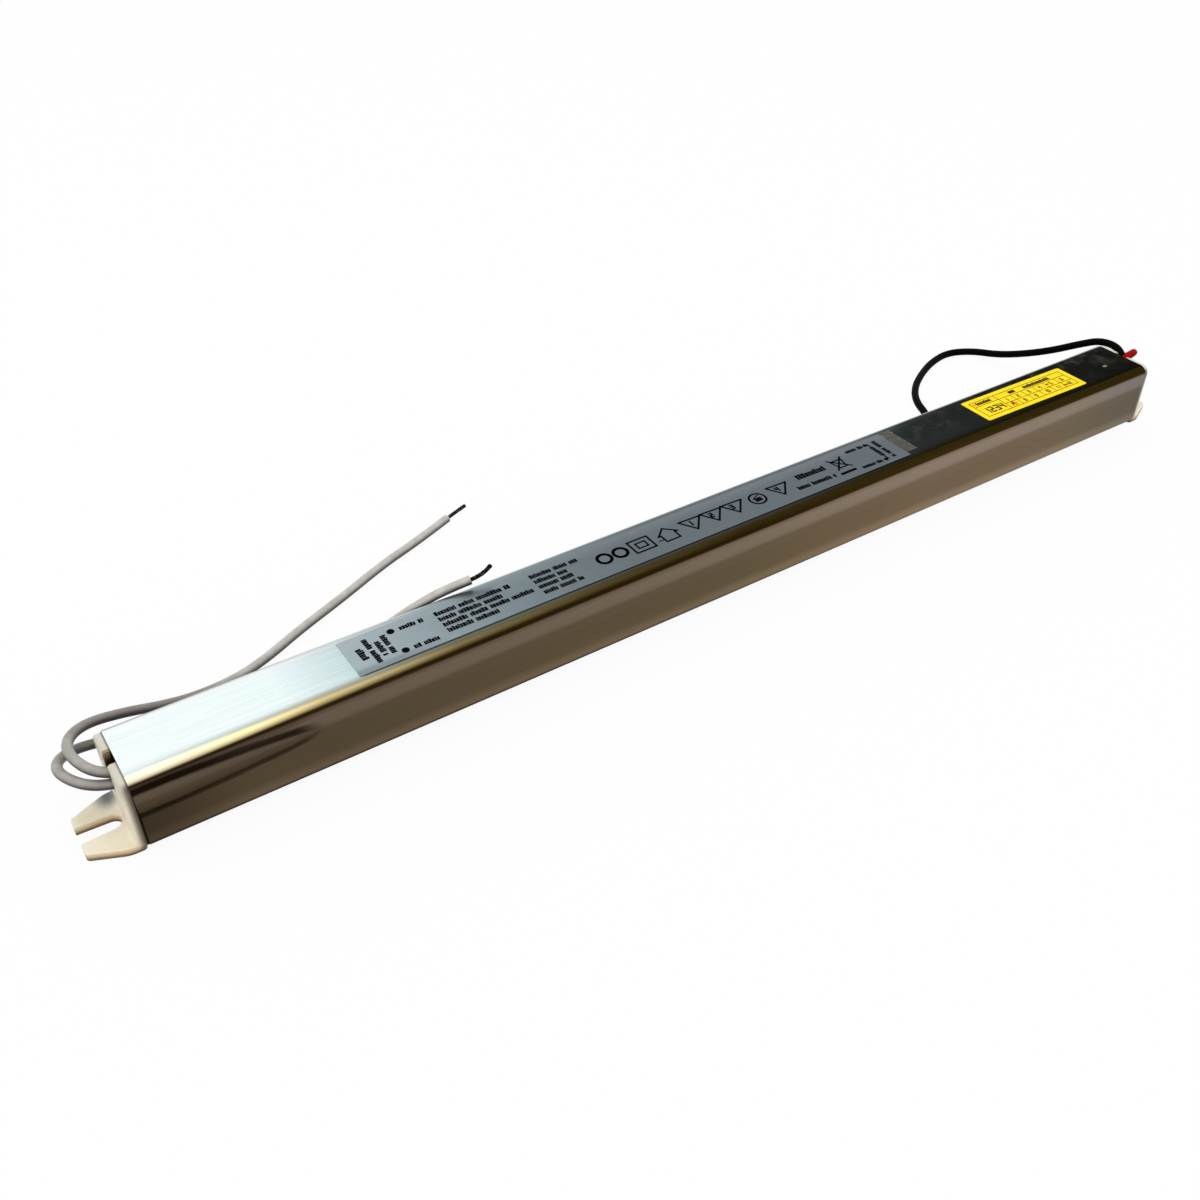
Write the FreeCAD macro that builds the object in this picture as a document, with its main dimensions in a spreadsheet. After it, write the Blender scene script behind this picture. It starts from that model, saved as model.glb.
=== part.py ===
"""Slim mains supply for lamps: a square aluminium tube with a moulded cap and a slotted foot at each end.

Millimetres. +X runs along the tube towards the output end, +Z is up, and the origin is the middle of the
underside, on the surface that the tube and both feet rest on.
"""
import FreeCAD, Part
import math
import os
import Sketcher
from types import SimpleNamespace

DIMENSIONS = [
    ("housing_length", 287, "aluminium tube, end to end"),
    ("housing_width", 18, "tube, outside"),
    ("housing_height", 18, "tube, outside"),
    ("housing_wall", 1.2, "tube wall"),
    ("housing_corner", 2.4, "outer radius of the tube's long edges"),
    ("saw_skew", 0.5, "how much shorter the sawn input end is at the underside"),
    ("rib_projection", 0.9, "board guide ribs, from the side wall"),
    ("rib_thickness", 1.0, "board guide ribs"),
    ("groove_clearance", 0.1, "between board and rib, each face"),
    ("board_underside", 4.5, "height of the circuit board's underside"),
    ("board_thickness", 1.6, "circuit board"),
    ("board_side_clearance", 0.15, "between board edge and side wall"),
    ("board_end_gap", 1.0, "between board end and cap plug"),
    ("plate_thickness", 1.7, "end plate of a cap"),
    ("plate_inset", 0.2, "end plate inside the tube's outline"),
    ("cap_edge_bevel", 0.4, "soft outer edge of a cap's plate"),
    ("foot_edge_bevel", 0.3, "soft upper edge of a foot"),
    ("plug_depth", 6, "how far a cap's plug reaches into the tube"),
    ("plug_wall", 1.0, "wall of the hollow plug"),
    ("plug_clearance", 0.2, "between plug and tube"),
    ("notch_width", 3.4, "cable notch in the end plate, for two wires one above the other"),
    ("notch_offset", 0.3, "cable notch beside the middle of the plate"),
    ("notch_floor", 9.8, "height of the bottom of the cable notch"),
    ("foot_length", 8.8, "foot, from the end plate to its tip"),
    ("foot_thickness", 2.0, "foot"),
    ("foot_base_width", 16.8, "foot where it leaves the plate"),
    ("foot_back_corner", 0.9, "corner of the foot beside the tube"),
    ("foot_shoulder_start", 0.3, "from the plate to where the foot's side begins to turn inwards"),
    ("foot_shoulder_radius", 6, "rounded shoulder of the foot"),
    ("foot_taper", 24, "degrees that a side of the foot slopes inwards"),
    ("prong_corner", 1.0, "outer corner of a prong"),
    ("slot_root_width", 4.1, "screw slot at its round end"),
    ("slot_mouth_width", 4.7, "screw slot at its open end"),
    ("slot_end_gap", 0.4, "from the plate to the slot's round end"),
    ("film_thickness", 0.3, "insulating film"),
    ("film_upturn", 1.6, "upturned sides of the lower film"),
    ("film_window_margin", 0.5, "film window around a thermal pad"),
    ("label_length", 151, "printed film on the top"),
    ("label_width", 11.8, "printed film"),
    ("label_thickness", 0.1, "printed film and stickers"),
    ("label_share", 0.0728, "printed film's middle towards the input end, in lengths of the tube"),
    ("label_middle_y", 0.25, "middle of the printed film"),
    ("tape_length", 3.6, "strip of clear tape beside the printed film"),
    ("tape_width", 10.4, "strip of clear tape"),
    ("tape_gap", 0.05, "between printed film and tape"),
    ("sticker_length", 38, "yellow sticker"),
    ("sticker_width", 10.4, "yellow sticker"),
    ("sticker_share", 0.359, "sticker's middle towards the output end, in lengths of the tube"),
    ("sticker_turn", -1.0, "degrees that the yellow sticker is askew"),
    ("wire_diameter", 2.1, "insulated wires"),
    ("wire_sides", 8, "flat sides that stand for the round wire"),
    ("strand_diameter", 1.0, "twisted bare ends"),
    ("strand_straight", 3.0, "straight part of a bare end"),
    ("terminal_length", 3.0, "soldered end of a wire on the board"),
    ("terminal_width", 1.4, "soldered end of a wire"),
    ("terminal_from_end", 12.5, "soldered end of a wire from the board's end"),
    ("terminal_pitch", 3.0, "between the two soldered ends of a pair of wires"),
    ("terminal_axis", 1.15, "axis of a soldered end above the board"),
    ("lead_diameter", 0.7, "wire leads of the components"),
    ("lead_sides", 6, "flat sides that stand for a round lead"),
    ("hole_sides", 8, "flat sides that stand for a drilled hole"),
    ("lead_hole_clearance", 0.15, "around a lead in its hole"),
    ("solder_height", 1.1, "solder under a lead"),
    ("solder_spread", 1.6, "solder at the board"),
    ("solder_tip", 0.9, "solder at its tip"),
    ("pad_zone", 18, "free end of the board where the wires are soldered"),
    ("spacing", 2.0, "between neighbouring components"),
    ("side_room", 0.3, "between the transformer and the guide ribs"),
    ("can_clearance", 0.4, "between the widest capacitor cans and the strip above"),
    ("bobbin_clearance_above", 0.7, "between the transformer's bobbin and the strip above"),
    ("disc_clearance", 0.9, "between the widest disc and the strip above"),
    ("case_clearance", 1.2, "between the film capacitor and the strip above"),
    ("choke_clearance", 0.6, "between the choke and the strip above"),
    ("drum_clearance", 1.8, "between the output filter drum and the strip above"),
    ("fuse_length", 10, "fuse with its end caps"),
    ("fuse_diameter", 3.6, "ceramic tube of the fuse"),
    ("fuse_cap_length", 2.2, "metal end cap of the fuse"),
    ("fuse_cap_step", 0.2, "fuse end cap outside the ceramic"),
    ("fuse_lift", 0.6, "fuse above the board"),
    ("lead_reach", 1.6, "from a component's end to its bent lead"),
    ("thermistor_thickness", 3.5, "inrush thermistor disc"),
    ("thermistor_diameter", 7.0, "inrush thermistor disc"),
    ("varistor_thickness", 4.0, "surge varistor disc"),
    ("suppressor_thickness", 3.2, "suppressor capacitor disc across the barrier"),
    ("suppressor_diameter", 7.4, "suppressor capacitor disc"),
    ("disc_lift", 0.9, "disc components above the board"),
    ("disc_pitch", 5.0, "between a disc component's leads"),
    ("line_capacitor_length", 13, "film capacitor box across the mains"),
    ("line_capacitor_width", 7.5, "film capacitor box"),
    ("line_capacitor_pitch", 10, "between the film capacitor's leads"),
    ("box_edge", 0.5, "bevelled edges of components"),
    ("choke_bore_radius", 2.2, "ring core's hole"),
    ("choke_core_length", 5.0, "ring core along the tube"),
    ("winding_build", 0.7, "thickness of the choke's windings"),
    ("winding_wire_diameter", 0.5, "enamelled wire that leaves a choke winding"),
    ("winding_sector", 120, "degrees of the ring that a winding covers"),
    ("bridge_length", 8.5, "bridge rectifier body"),
    ("bridge_height", 3.3, "bridge rectifier body"),
    ("bridge_leg_pitch", 5.1, "between the bridge rectifier's legs"),
    ("coupler_length", 4.6, "optocoupler body"),
    ("coupler_height", 3.4, "optocoupler body"),
    ("coupler_leg_pitch", 2.54, "between the optocoupler's legs"),
    ("dip_width", 6.4, "body of the two-row packages"),
    ("dip_row_pitch", 7.62, "between the two rows of legs"),
    ("leg_width", 0.6, "legs of the two-row packages"),
    ("leg_thickness", 0.3, "legs of the two-row packages"),
    ("leg_height", 1.6, "where the legs leave the package, above the board"),
    ("isolation_gap", 10.8, "free board between the mains cans and the small supply capacitor"),
    ("output_can_length", 18, "output capacitor can"),
    ("output_can_diameter", 8, "output capacitor can"),
    ("startup_can_length", 11, "small supply capacitor can"),
    ("startup_can_diameter", 5, "small supply capacitor can"),
    ("can_crimp_depth", 0.35, "crimped groove round a can"),
    ("can_crimp_width", 0.9, "crimped groove"),
    ("can_crimp_inset", 1.8, "crimped groove from the can's sealed end"),
    ("inductor_diameter", 8.8, "output filter drum"),
    ("inductor_flange", 1.2, "end flanges of the drum"),
    ("inductor_waist", 0.7, "winding inside the flange edge"),
    ("core_half_length", 13, "one half of the transformer core"),
    ("core_top_gap", 1.6, "from the core up to the top of the bobbin's flanges"),
    ("core_back", 4.2, "back of a core half"),
    ("core_outer_leg", 2.0, "outer legs of the core"),
    ("core_middle_leg", 4.0, "width of the core's middle leg"),
    ("core_leg_step", 1.1, "middle leg inside the core's upper and lower faces"),
    ("bobbin_clearance", 0.1, "between core leg and bobbin"),
    ("bobbin_wall", 0.6, "bobbin tube and flanges"),
    ("bobbin_side_gap", 0.2, "between bobbin flange and outer legs"),
    ("winding_gap", 0.3, "winding inside the bobbin's flange edge"),
    ("rail_height", 1.9, "pin rail under the core"),
    ("rail_length", 3.4, "pin rail along the tube"),
    ("rail_pin_pitch", 3.2, "between the transformer's pins"),
    ("rail_pin_count", 4, "pins in a rail"),
    ("transistor_length", 6.6, "flat power package along the tube"),
    ("transistor_width", 6.1, "flat power package"),
    ("transistor_height", 2.3, "flat power package"),
    ("tab_reach", 1.0, "metal tab beyond the package"),
    ("tab_thickness", 0.5, "metal tab"),
    ("transistor_leg_reach", 2.2, "legs beyond the package"),
    ("transistor_leg_width", 0.9, "legs of the power package"),
    ("transistor_leg_pitch", 4.6, "between its two legs"),
    ("pad_overhang", 0.6, "thermal pad beyond the package"),
    ("transistor_from_leads", 9.5, "middle of the switching transistor from the second reservoir can's leads"),
    ("controller_length", 4.9, "controller chip"),
    ("controller_width", 3.9, "controller chip"),
    ("controller_height", 1.5, "controller chip"),
    ("controller_leg_reach", 1.1, "controller legs beyond the body"),
    ("controller_leg_width", 0.45, "controller legs"),
    ("controller_leg_pitch", 1.27, "between controller legs"),
    ("controller_leg_count", 4, "legs on each side of the controller"),
    ("controller_from_leads", 6.6, "middle of the controller from the small supply capacitor's leads"),
    ("chip_length", 3.2, "small resistors"),
    ("chip_width", 1.6, "small resistors"),
    ("chip_height", 0.6, "small resistors"),
    ("chip_pitch", 2.6, "between small resistors"),
    ("chip_count", 4, "small resistors in a row"),
    ("chip_rows_apart", 5.6, "between the two rows of small resistors"),
    ("chips_from_leads", 3.4, "first small resistor from the leads of the can above it"),
]

# Routes of the wires: hand-chosen points from the soldered end on the board to the end of the insulation.
LIVE_ROUTE = [
    (-124.0, 1.5, 7.25), (-130.5, 1.5, 7.25), (-136.2, 0.8, 10.7), (-141.8, -0.6, 13.1), (-147.4, 0.0, 15.2),
    (-150.2, 6.0, 15.8), (-149.5, 12.6, 14.6), (-145.0, 17.8, 12.4), (-137.2, 20.2, 9.4), (-129.4, 22.4, 5.5),
    (-121.4, 26.2, 1.3), (-112.2, 27.2, 1.1), (-104.0, 30.2, 1.1), (-94.8, 35.0, 1.1), (-81.6, 40.7, 1.1),
    (-67.4, 47.5, 1.1), (-56.0, 51.6, 1.1), (-45.4, 56.2, 1.1),
]
NEUTRAL_ROUTE = [
    (-124.0, -1.5, 7.25), (-130.5, -1.5, 7.25), (-136.8, -1.2, 9.0), (-142.8, -0.8, 11.0), (-149.0, -0.2, 12.7),
    (-152.8, 4.6, 13.5), (-152.8, 10.4, 12.0), (-149.0, 15.2, 9.5), (-141.8, 17.2, 6.7), (-133.6, 17.2, 3.6),
    (-125.4, 18.4, 1.3), (-116.6, 17.8, 1.1), (-107.4, 16.2, 1.5), (-98.8, 14.0, 4.4), (-91.0, 12.6, 8.5),
    (-83.2, 11.8, 12.7), (-75.2, 10.6, 16.3), (-69.4, 9.2, 18.6), (-64.0, 7.7, 20.0),
]
NEGATIVE_ROUTE = [
    (124.0, 1.5, 7.25), (130.5, 1.5, 7.25), (136.4, 1.1, 9.7), (142.2, 0.5, 12.0), (147.9, 1.0, 13.7),
    (150.6, 5.4, 16.2), (149.8, 11.4, 16.3), (146.0, 15.6, 14.4), (142.9, 21.8, 10.7), (140.7, 29.6, 6.8),
    (139.6, 38.6, 3.0), (138.0, 47.0, 1.1), (130.6, 50.6, 1.1), (121.6, 48.8, 1.1), (113.0, 44.8, 1.1),
    (105.2, 39.8, 1.1), (99.4, 33.4, 1.1), (96.4, 25.8, 1.1), (90.4, 20.4, 1.1), (82.0, 18.2, 1.1),
    (73.6, 18.6, 1.1), (66.0, 20.2, 1.1),
]
POSITIVE_ROUTE = [
    (124.0, -1.5, 7.25), (130.5, -1.5, 7.25), (136.0, -1.1, 11.0), (141.2, -0.3, 14.2), (146.7, -0.1, 16.8),
    (151.7, 0.8, 16.8), (154.2, 4.8, 12.6), (153.6, 9.4, 8.4), (148.2, 12.8, 5.4), (140.4, 14.4, 2.7),
    (131.4, 14.2, 1.1), (121.4, 13.0, 1.1), (110.4, 13.2, 1.1), (98.6, 12.6, 1.1), (86.0, 12.3, 1.1),
    (73.4, 12.8, 1.1), (62.6, 12.4, 1.1),
]

# Tips of the bare ends, which leave the insulation straight.
LIVE_TIP = (-38.7, 58.7, 1.3)
NEUTRAL_TIP = (-58.8, 7.9, 21.7)
NEGATIVE_TIP = (59.8, 21.8, 1.2)
POSITIVE_TIP = (56.4, 12.0, 1.2)

# Share of the shorter run that an arc of a wire's route takes up.
ARC_SHARE = 0.45


class Size:
    """A length together with its spreadsheet formula, so that a drawn shape and its binding always agree."""

    def __init__(self, value, text):
        self.value = value
        self.text = text

    def joined(self, sign, other, value):
        return Size(value, "(%s %s %s)" % (self.text, sign, other.text))

    def __add__(self, other):
        other = as_size(other)
        return self.joined("+", other, self.value + other.value)

    def __radd__(self, other):
        return as_size(other) + self

    def __sub__(self, other):
        other = as_size(other)
        return self.joined("-", other, self.value - other.value)

    def __rsub__(self, other):
        return as_size(other) - self

    def __mul__(self, other):
        other = as_size(other)
        return self.joined("*", other, self.value * other.value)

    def __rmul__(self, other):
        return as_size(other) * self

    def __truediv__(self, other):
        other = as_size(other)
        return self.joined("/", other, self.value / other.value)

    def __neg__(self):
        return self * -1


def as_size(item):
    if isinstance(item, Size):
        return item
    return Size(float(item), "(%r)" % float(item))


def sine(angle):
    return Size(math.sin(math.radians(angle.value)), "sin(%s)" % angle.text)


def cosine(angle):
    return Size(math.cos(math.radians(angle.value)), "cos(%s)" % angle.text)


doc = FreeCAD.newDocument("slim_supply")
sheet = doc.addObject("Spreadsheet::Sheet", "Sizes")
dim = SimpleNamespace()
for row, (alias, value, meaning) in enumerate(DIMENSIONS, start=1):
    sheet.set("A%d" % row, meaning)
    sheet.set("B%d" % row, str(value))
    sheet.setAlias("B%d" % row, alias)
    setattr(dim, alias, Size(float(value), "Sizes.%s" % alias))
doc.recompute()

sub_parts = []
lead_points = []


def bind(thing, name, item):
    thing.setExpression(name, as_size(item).text)


def place(thing, x, y, z):
    bind(thing, "Placement.Base.x", x)
    bind(thing, "Placement.Base.y", y)
    bind(thing, "Placement.Base.z", z)
    return thing


def keep(thing, label):
    """Names a finished sub-part and lists it for writing."""
    thing.Label = label
    sub_parts.append(thing)
    return thing


# Solid primitives, bound to the spreadsheet

def box(name, low, extent):
    solid = doc.addObject("Part::Box", name)
    bind(solid, "Length", extent[0])
    bind(solid, "Width", extent[1])
    bind(solid, "Height", extent[2])
    return place(solid, *low)


def middle_box(name, middle_x, middle_y, low_z, extent):
    """A box centred on a point of the plan, standing on low_z."""
    return box(name, (middle_x - as_size(extent[0]) / 2, middle_y - as_size(extent[1]) / 2, low_z), extent)


def upright(name, x, y, low_z, radius, tall):
    solid = doc.addObject("Part::Cylinder", name)
    bind(solid, "Radius", radius)
    bind(solid, "Height", tall)
    return place(solid, x, y, low_z)


def lying(name, low_x, y, z, radius, length, sector=None, turn=0):
    """A cylinder along the tube; sector keeps only that many degrees of it, turned about its axis."""
    solid = doc.addObject("Part::Cylinder", name)
    bind(solid, "Radius", radius)
    bind(solid, "Height", length)
    if sector is not None:
        bind(solid, "Angle", sector)
    along = FreeCAD.Rotation(FreeCAD.Vector(0, 1, 0), 90)
    about = FreeCAD.Rotation(FreeCAD.Vector(0, 0, 1), turn)
    solid.Placement = FreeCAD.Placement(FreeCAD.Vector(), along.multiply(about))
    return place(solid, low_x, y, z)


def flat_sided(name, sides, radius, tall):
    """A prism that stands for a thin round bar; radius is its reach to the corners."""
    solid = doc.addObject("Part::Prism", name)
    bind(solid, "Polygon", sides)
    bind(solid, "Circumradius", radius)
    bind(solid, "Height", tall)
    return solid


def fuse(name, solids):
    whole = doc.addObject("Part::MultiFuse", name)
    whole.Shapes = solids
    return whole


def cut(name, solid, tool):
    rest = doc.addObject("Part::Cut", name)
    rest.Base = solid
    rest.Tool = tool
    return rest


def group(name, solids):
    gathered = doc.addObject("Part::Compound", name)
    gathered.Links = solids
    return gathered


def bevelled(name, solid, size, chosen):
    """Chamfers the edges that chosen accepts."""
    doc.recompute()
    edges = [n for n, edge in enumerate(solid.Shape.Edges, start=1) if chosen(edge)]
    soft = doc.addObject("Part::Chamfer", name)
    soft.Base = solid
    soft.Edges = [(n, size.value, size.value) for n in edges]
    return soft


def rim_of(diameter):
    around = math.pi * diameter.value
    return lambda edge: abs(edge.Length - around) < 1e-3


# Sketched bodies

def new_body(label):
    return doc.addObject("PartDesign::Body", label)


def sketch_on(body, name, role, offset=None):
    sketch = body.newObject("Sketcher::SketchObject", name)
    plane = [feature for feature in body.Origin.OriginFeatures if feature.Role == role][0]
    sketch.AttachmentSupport = [(plane, "")]
    sketch.MapMode = "FlatFace"
    if offset is not None:
        bind(sketch, "AttachmentOffset.Base.z", offset)
    return sketch


def add_side(sketch, start, end, bend):
    """Adds a line, or an arc of radius bend, and returns it with the places of its first and last point."""
    first = FreeCAD.Vector(start[0].value, start[1].value, 0)
    last = FreeCAD.Vector(end[0].value, end[1].value, 0)
    if bend is None:
        return sketch.addGeometry(Part.LineSegment(first, last), False), 1, 2
    chord = last.sub(first)
    rise = math.sqrt(max(0.0, bend.value ** 2 - chord.Length ** 2 / 4))
    left = FreeCAD.Vector(-chord.y, chord.x, 0).normalize()
    centre = (first + last) * 0.5 + left * math.copysign(rise, bend.value)
    ends = [first, last] if bend.value > 0 else [last, first]
    angles = [math.atan2(point.y - centre.y, point.x - centre.x) for point in ends]
    circle = Part.Circle(centre, FreeCAD.Vector(0, 0, 1), abs(bend.value))
    side = sketch.addGeometry(Part.ArcOfCircle(circle, angles[0], angles[1]), False)
    radius = sketch.addConstraint(Sketcher.Constraint("Radius", side, abs(bend.value)))
    sketch.setExpression("Constraints[%d]" % radius, "abs(%s)" % bend.text)
    return (side, 1, 2) if bend.value > 0 else (side, 2, 1)


def add_loop(sketch, corners):
    """A closed outline. A corner is (u, v), or (u, v, bend) where the side that leaves it is an arc.

    A positive bend has its centre on the left of the way round, a negative one on the right.
    """
    points = [(as_size(corner[0]), as_size(corner[1])) for corner in corners]
    bends = [corner[2] if len(corner) > 2 else None for corner in corners]
    count = len(points)
    sides = [add_side(sketch, points[n], points[(n + 1) % count], bends[n]) for n in range(count)]
    for n, (side, first, last) in enumerate(sides):
        following, following_first, _ = sides[(n + 1) % count]
        sketch.addConstraint(Sketcher.Constraint("Coincident", side, last, following, following_first))
        for kind, item in zip(("DistanceX", "DistanceY"), points[n]):
            held = sketch.addConstraint(Sketcher.Constraint(kind, -1, 1, side, first, item.value))
            sketch.setExpression("Constraints[%d]" % held, item.text)


def rounded_loop(low_u, low_v, high_u, high_v, radius):
    return [
        (low_u + radius, low_v), (high_u - radius, low_v, radius),
        (high_u, low_v + radius), (high_u, high_v - radius, radius),
        (high_u - radius, high_v), (low_u + radius, high_v, radius),
        (low_u, high_v - radius), (low_u, low_v + radius, radius),
    ]


def pad(body, name, sketch, length, symmetric=False, backwards=False):
    feature = body.newObject("PartDesign::Pad", name)
    feature.Profile = sketch
    bind(feature, "Length", length)
    feature.SideType = "Symmetric" if symmetric else "One side"
    feature.Reversed = backwards
    return feature


def pocket(body, name, sketch, length=None, backwards=False):
    """Cuts to a depth, or right through both ways where no depth is given."""
    feature = body.newObject("PartDesign::Pocket", name)
    feature.Profile = sketch
    if length is None:
        feature.Type = "ThroughAll"
        feature.SideType = "Symmetric"
    else:
        bind(feature, "Length", length)
        feature.Reversed = backwards
    return feature


# Places that several pieces share

half_width = dim.housing_width / 2
half_length = dim.housing_length / 2
wall_y = half_width - dim.housing_wall
cavity_top = dim.housing_height - dim.housing_wall
cavity_corner = dim.housing_corner - dim.housing_wall
board_top = dim.board_underside + dim.board_thickness
board_half = half_length - dim.plug_depth - dim.board_end_gap
rib_y = wall_y - dim.rib_projection
lower_rib_top = dim.board_underside - dim.groove_clearance
upper_rib_low = board_top + dim.groove_clearance
core_width = (rib_y - dim.side_room) * 2
strip_low = cavity_top - dim.film_thickness
headroom = strip_low - board_top


# Housing: one aluminium extrusion, a square tube with rounded edges and two pairs of guide ribs for the board

def make_housing():
    body = new_body("housing")
    outer = sketch_on(body, "housing_outline", "YZ_Plane")
    add_loop(outer, rounded_loop(-half_width, as_size(0), half_width, dim.housing_height, dim.housing_corner))
    pad(body, "housing_bar", outer, dim.housing_length, symmetric=True)
    inner = sketch_on(body, "housing_bore", "YZ_Plane")
    add_loop(inner, rounded_loop(-wall_y, dim.housing_wall, wall_y, cavity_top, cavity_corner))
    pocket(body, "housing_cavity", inner)
    ribs = sketch_on(body, "housing_ribs", "YZ_Plane")
    root_y = wall_y + dim.housing_wall / 2
    for low in (lower_rib_top - dim.rib_thickness, upper_rib_low):
        high = low + dim.rib_thickness
        add_loop(ribs, [(rib_y, low), (root_y, low), (root_y, high), (rib_y, high)])
        add_loop(ribs, [(-root_y, low), (-rib_y, low), (-rib_y, high), (-root_y, high)])
    pad(body, "housing_guides", ribs, dim.housing_length, symmetric=True)
    saw = sketch_on(body, "housing_saw_line", "XZ_Plane")
    beyond = dim.saw_skew * 2
    add_loop(saw, [
        (-half_length, dim.housing_height), (-half_length - beyond, dim.housing_height),
        (-half_length - beyond, -beyond), (-half_length + dim.saw_skew, -beyond),
        (-half_length + dim.saw_skew, as_size(0)),
    ])
    pocket(body, "housing_sawn_end", saw)
    keep(body, "housing")


# End caps: one moulding each, with a hollow plug, an end plate with a cable notch, and a slotted foot

def foot_corners():
    """Outline of a foot, seen from above; its shoulders are round and its sides slope straight to the prongs."""
    base, back, corner = dim.foot_base_width / 2, dim.foot_back_corner, dim.prong_corner
    shoulder, slope, rise = dim.foot_shoulder_radius, sine(dim.foot_taper), cosine(dim.foot_taper)
    turn_x = dim.plate_thickness + dim.foot_shoulder_start
    side_x, side_y = turn_x + shoulder * slope, base - shoulder * (1 - rise)
    end_x = dim.plate_thickness + dim.foot_length
    corner_x = end_x - corner + corner * slope
    corner_y = side_y - (corner_x - side_x) * slope / rise
    tip_y = corner_y - corner * rise
    return [
        (as_size(0), back - base, back), (back, -base), (turn_x, -base, shoulder), (side_x, -side_y),
        (corner_x, -corner_y, corner), (end_x, -tip_y), (end_x, tip_y, corner), (corner_x, corner_y),
        (side_x, side_y, shoulder), (turn_x, base), (back, base, back), (as_size(0), base - back),
    ]


def slot_corners():
    """Screw slot, round towards the plate and widening a little to its open end."""
    root, mouth = dim.slot_root_width / 2, dim.slot_mouth_width / 2
    low_x = dim.plate_thickness + dim.slot_end_gap
    open_x = dim.plate_thickness + dim.foot_length
    beyond = open_x + dim.slot_mouth_width
    return [
        (low_x, as_size(0), root), (low_x + root, -root), (open_x, -mouth), (beyond, -mouth), (beyond, mouth),
        (open_x, mouth), (low_x + root, root, root),
    ]


def soften(body, name, size, chosen):
    """Bevels the edges of the body's newest feature that chosen accepts."""
    doc.recompute()
    below = body.Tip
    edges = ["Edge%d" % n for n, edge in enumerate(below.Shape.Edges, start=1) if chosen(edge.BoundBox)]
    feature = body.newObject("PartDesign::Chamfer", name)
    feature.Base = (below, edges)
    bind(feature, "Size", size)
    return feature


def make_cap(label):
    """Modelled with its seat on the tube's end at x = 0 and its foot towards +X."""
    stopper = new_body(label + "_stopper")
    plate_y = half_width - dim.plate_inset
    plate_top = dim.housing_height - dim.plate_inset
    plate_x, foot_top = dim.plate_thickness.value, dim.foot_thickness.value
    near = 1e-4
    plate = sketch_on(stopper, label + "_plate_outline", "YZ_Plane")
    add_loop(plate, rounded_loop(-plate_y, as_size(0), plate_y, plate_top, dim.housing_corner))
    pad(stopper, label + "_plate", plate, dim.plate_thickness)
    soften(stopper, label + "_plate_edge", dim.cap_edge_bevel, lambda size: size.XMin > plate_x - near)
    plug = sketch_on(stopper, label + "_plug_outline", "YZ_Plane")
    plug_y = rib_y - dim.plug_clearance
    plug_low = dim.housing_wall + dim.plug_clearance
    plug_top = cavity_top - dim.plug_clearance
    add_loop(plug, [(-plug_y, plug_low), (plug_y, plug_low), (plug_y, plug_top), (-plug_y, plug_top)])
    pad(stopper, label + "_plug", plug, dim.plug_depth, backwards=True)
    hollow = sketch_on(stopper, label + "_plug_hollow", "YZ_Plane")
    in_y, in_low, in_top = plug_y - dim.plug_wall, plug_low + dim.plug_wall, plug_top - dim.plug_wall
    add_loop(hollow, [(-in_y, in_low), (in_y, in_low), (in_y, in_top), (-in_y, in_top)])
    pocket(stopper, label + "_plug_bore", hollow, dim.plug_depth)
    notch = sketch_on(stopper, label + "_notch_outline", "YZ_Plane")
    half_notch = dim.notch_width / 2
    middle, round_z = dim.notch_offset, dim.notch_floor + half_notch
    above = dim.housing_height + dim.notch_width
    add_loop(notch, [
        (middle, dim.notch_floor, half_notch), (middle + half_notch, round_z), (middle + half_notch, above),
        (middle - half_notch, above), (middle - half_notch, round_z, half_notch),
    ])
    pocket(stopper, label + "_notch", notch)

    lug = new_body(label + "_lug")
    foot = sketch_on(lug, label + "_foot_outline", "XY_Plane")
    add_loop(foot, foot_corners())
    pad(lug, label + "_foot", foot, dim.foot_thickness)
    soften(lug, label + "_foot_edge", dim.foot_edge_bevel, lambda size: (
        size.ZMin > foot_top - near and size.XMax > plate_x - near))
    slot = sketch_on(lug, label + "_slot_outline", "XY_Plane")
    add_loop(slot, slot_corners())
    pocket(lug, label + "_slot", slot)
    return keep(fuse(label + "_moulding", [stopper, lug]), label)


def make_caps():
    place(make_cap("output_end_cap"), half_length, 0, 0)
    input_cap = make_cap("input_end_cap")
    input_cap.Placement = FreeCAD.Placement(FreeCAD.Vector(), FreeCAD.Rotation(FreeCAD.Vector(0, 0, 1), 180))
    place(input_cap, -half_length, 0, 0)


# Components: each is its body and its leads in one, with the leads through the board

def leads(name, points, diameter, top):
    """Straight leads from the underside of the board up to the height top."""
    made = []
    for n, (x, y) in enumerate(points):
        lead_points.append((as_size(x), as_size(y), diameter))
        tall = top - dim.board_underside
        lead = flat_sided("%s_lead_%d" % (name, n + 1), dim.lead_sides, diameter / 2, tall)
        made.append(place(lead, x, y, dim.board_underside))
    return made


def bent_leads(name, face_x, way, offsets, height):
    """Leads that leave an end face along the tube and turn down through the board."""
    reach = dim.lead_reach
    made = []
    for n, y in enumerate(offsets):
        low_x = face_x - reach if way < 0 else face_x - dim.lead_diameter
        bar = flat_sided("%s_reach_%d" % (name, n + 1), dim.lead_sides, dim.lead_diameter / 2,
                         reach + dim.lead_diameter)
        bar.Placement = FreeCAD.Placement(FreeCAD.Vector(), FreeCAD.Rotation(FreeCAD.Vector(0, 1, 0), 90))
        made.append(place(bar, low_x, y, height))
    down_x = face_x + reach * way
    return made + leads(name, [(down_x, y) for y in offsets], dim.lead_diameter, height)


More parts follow.
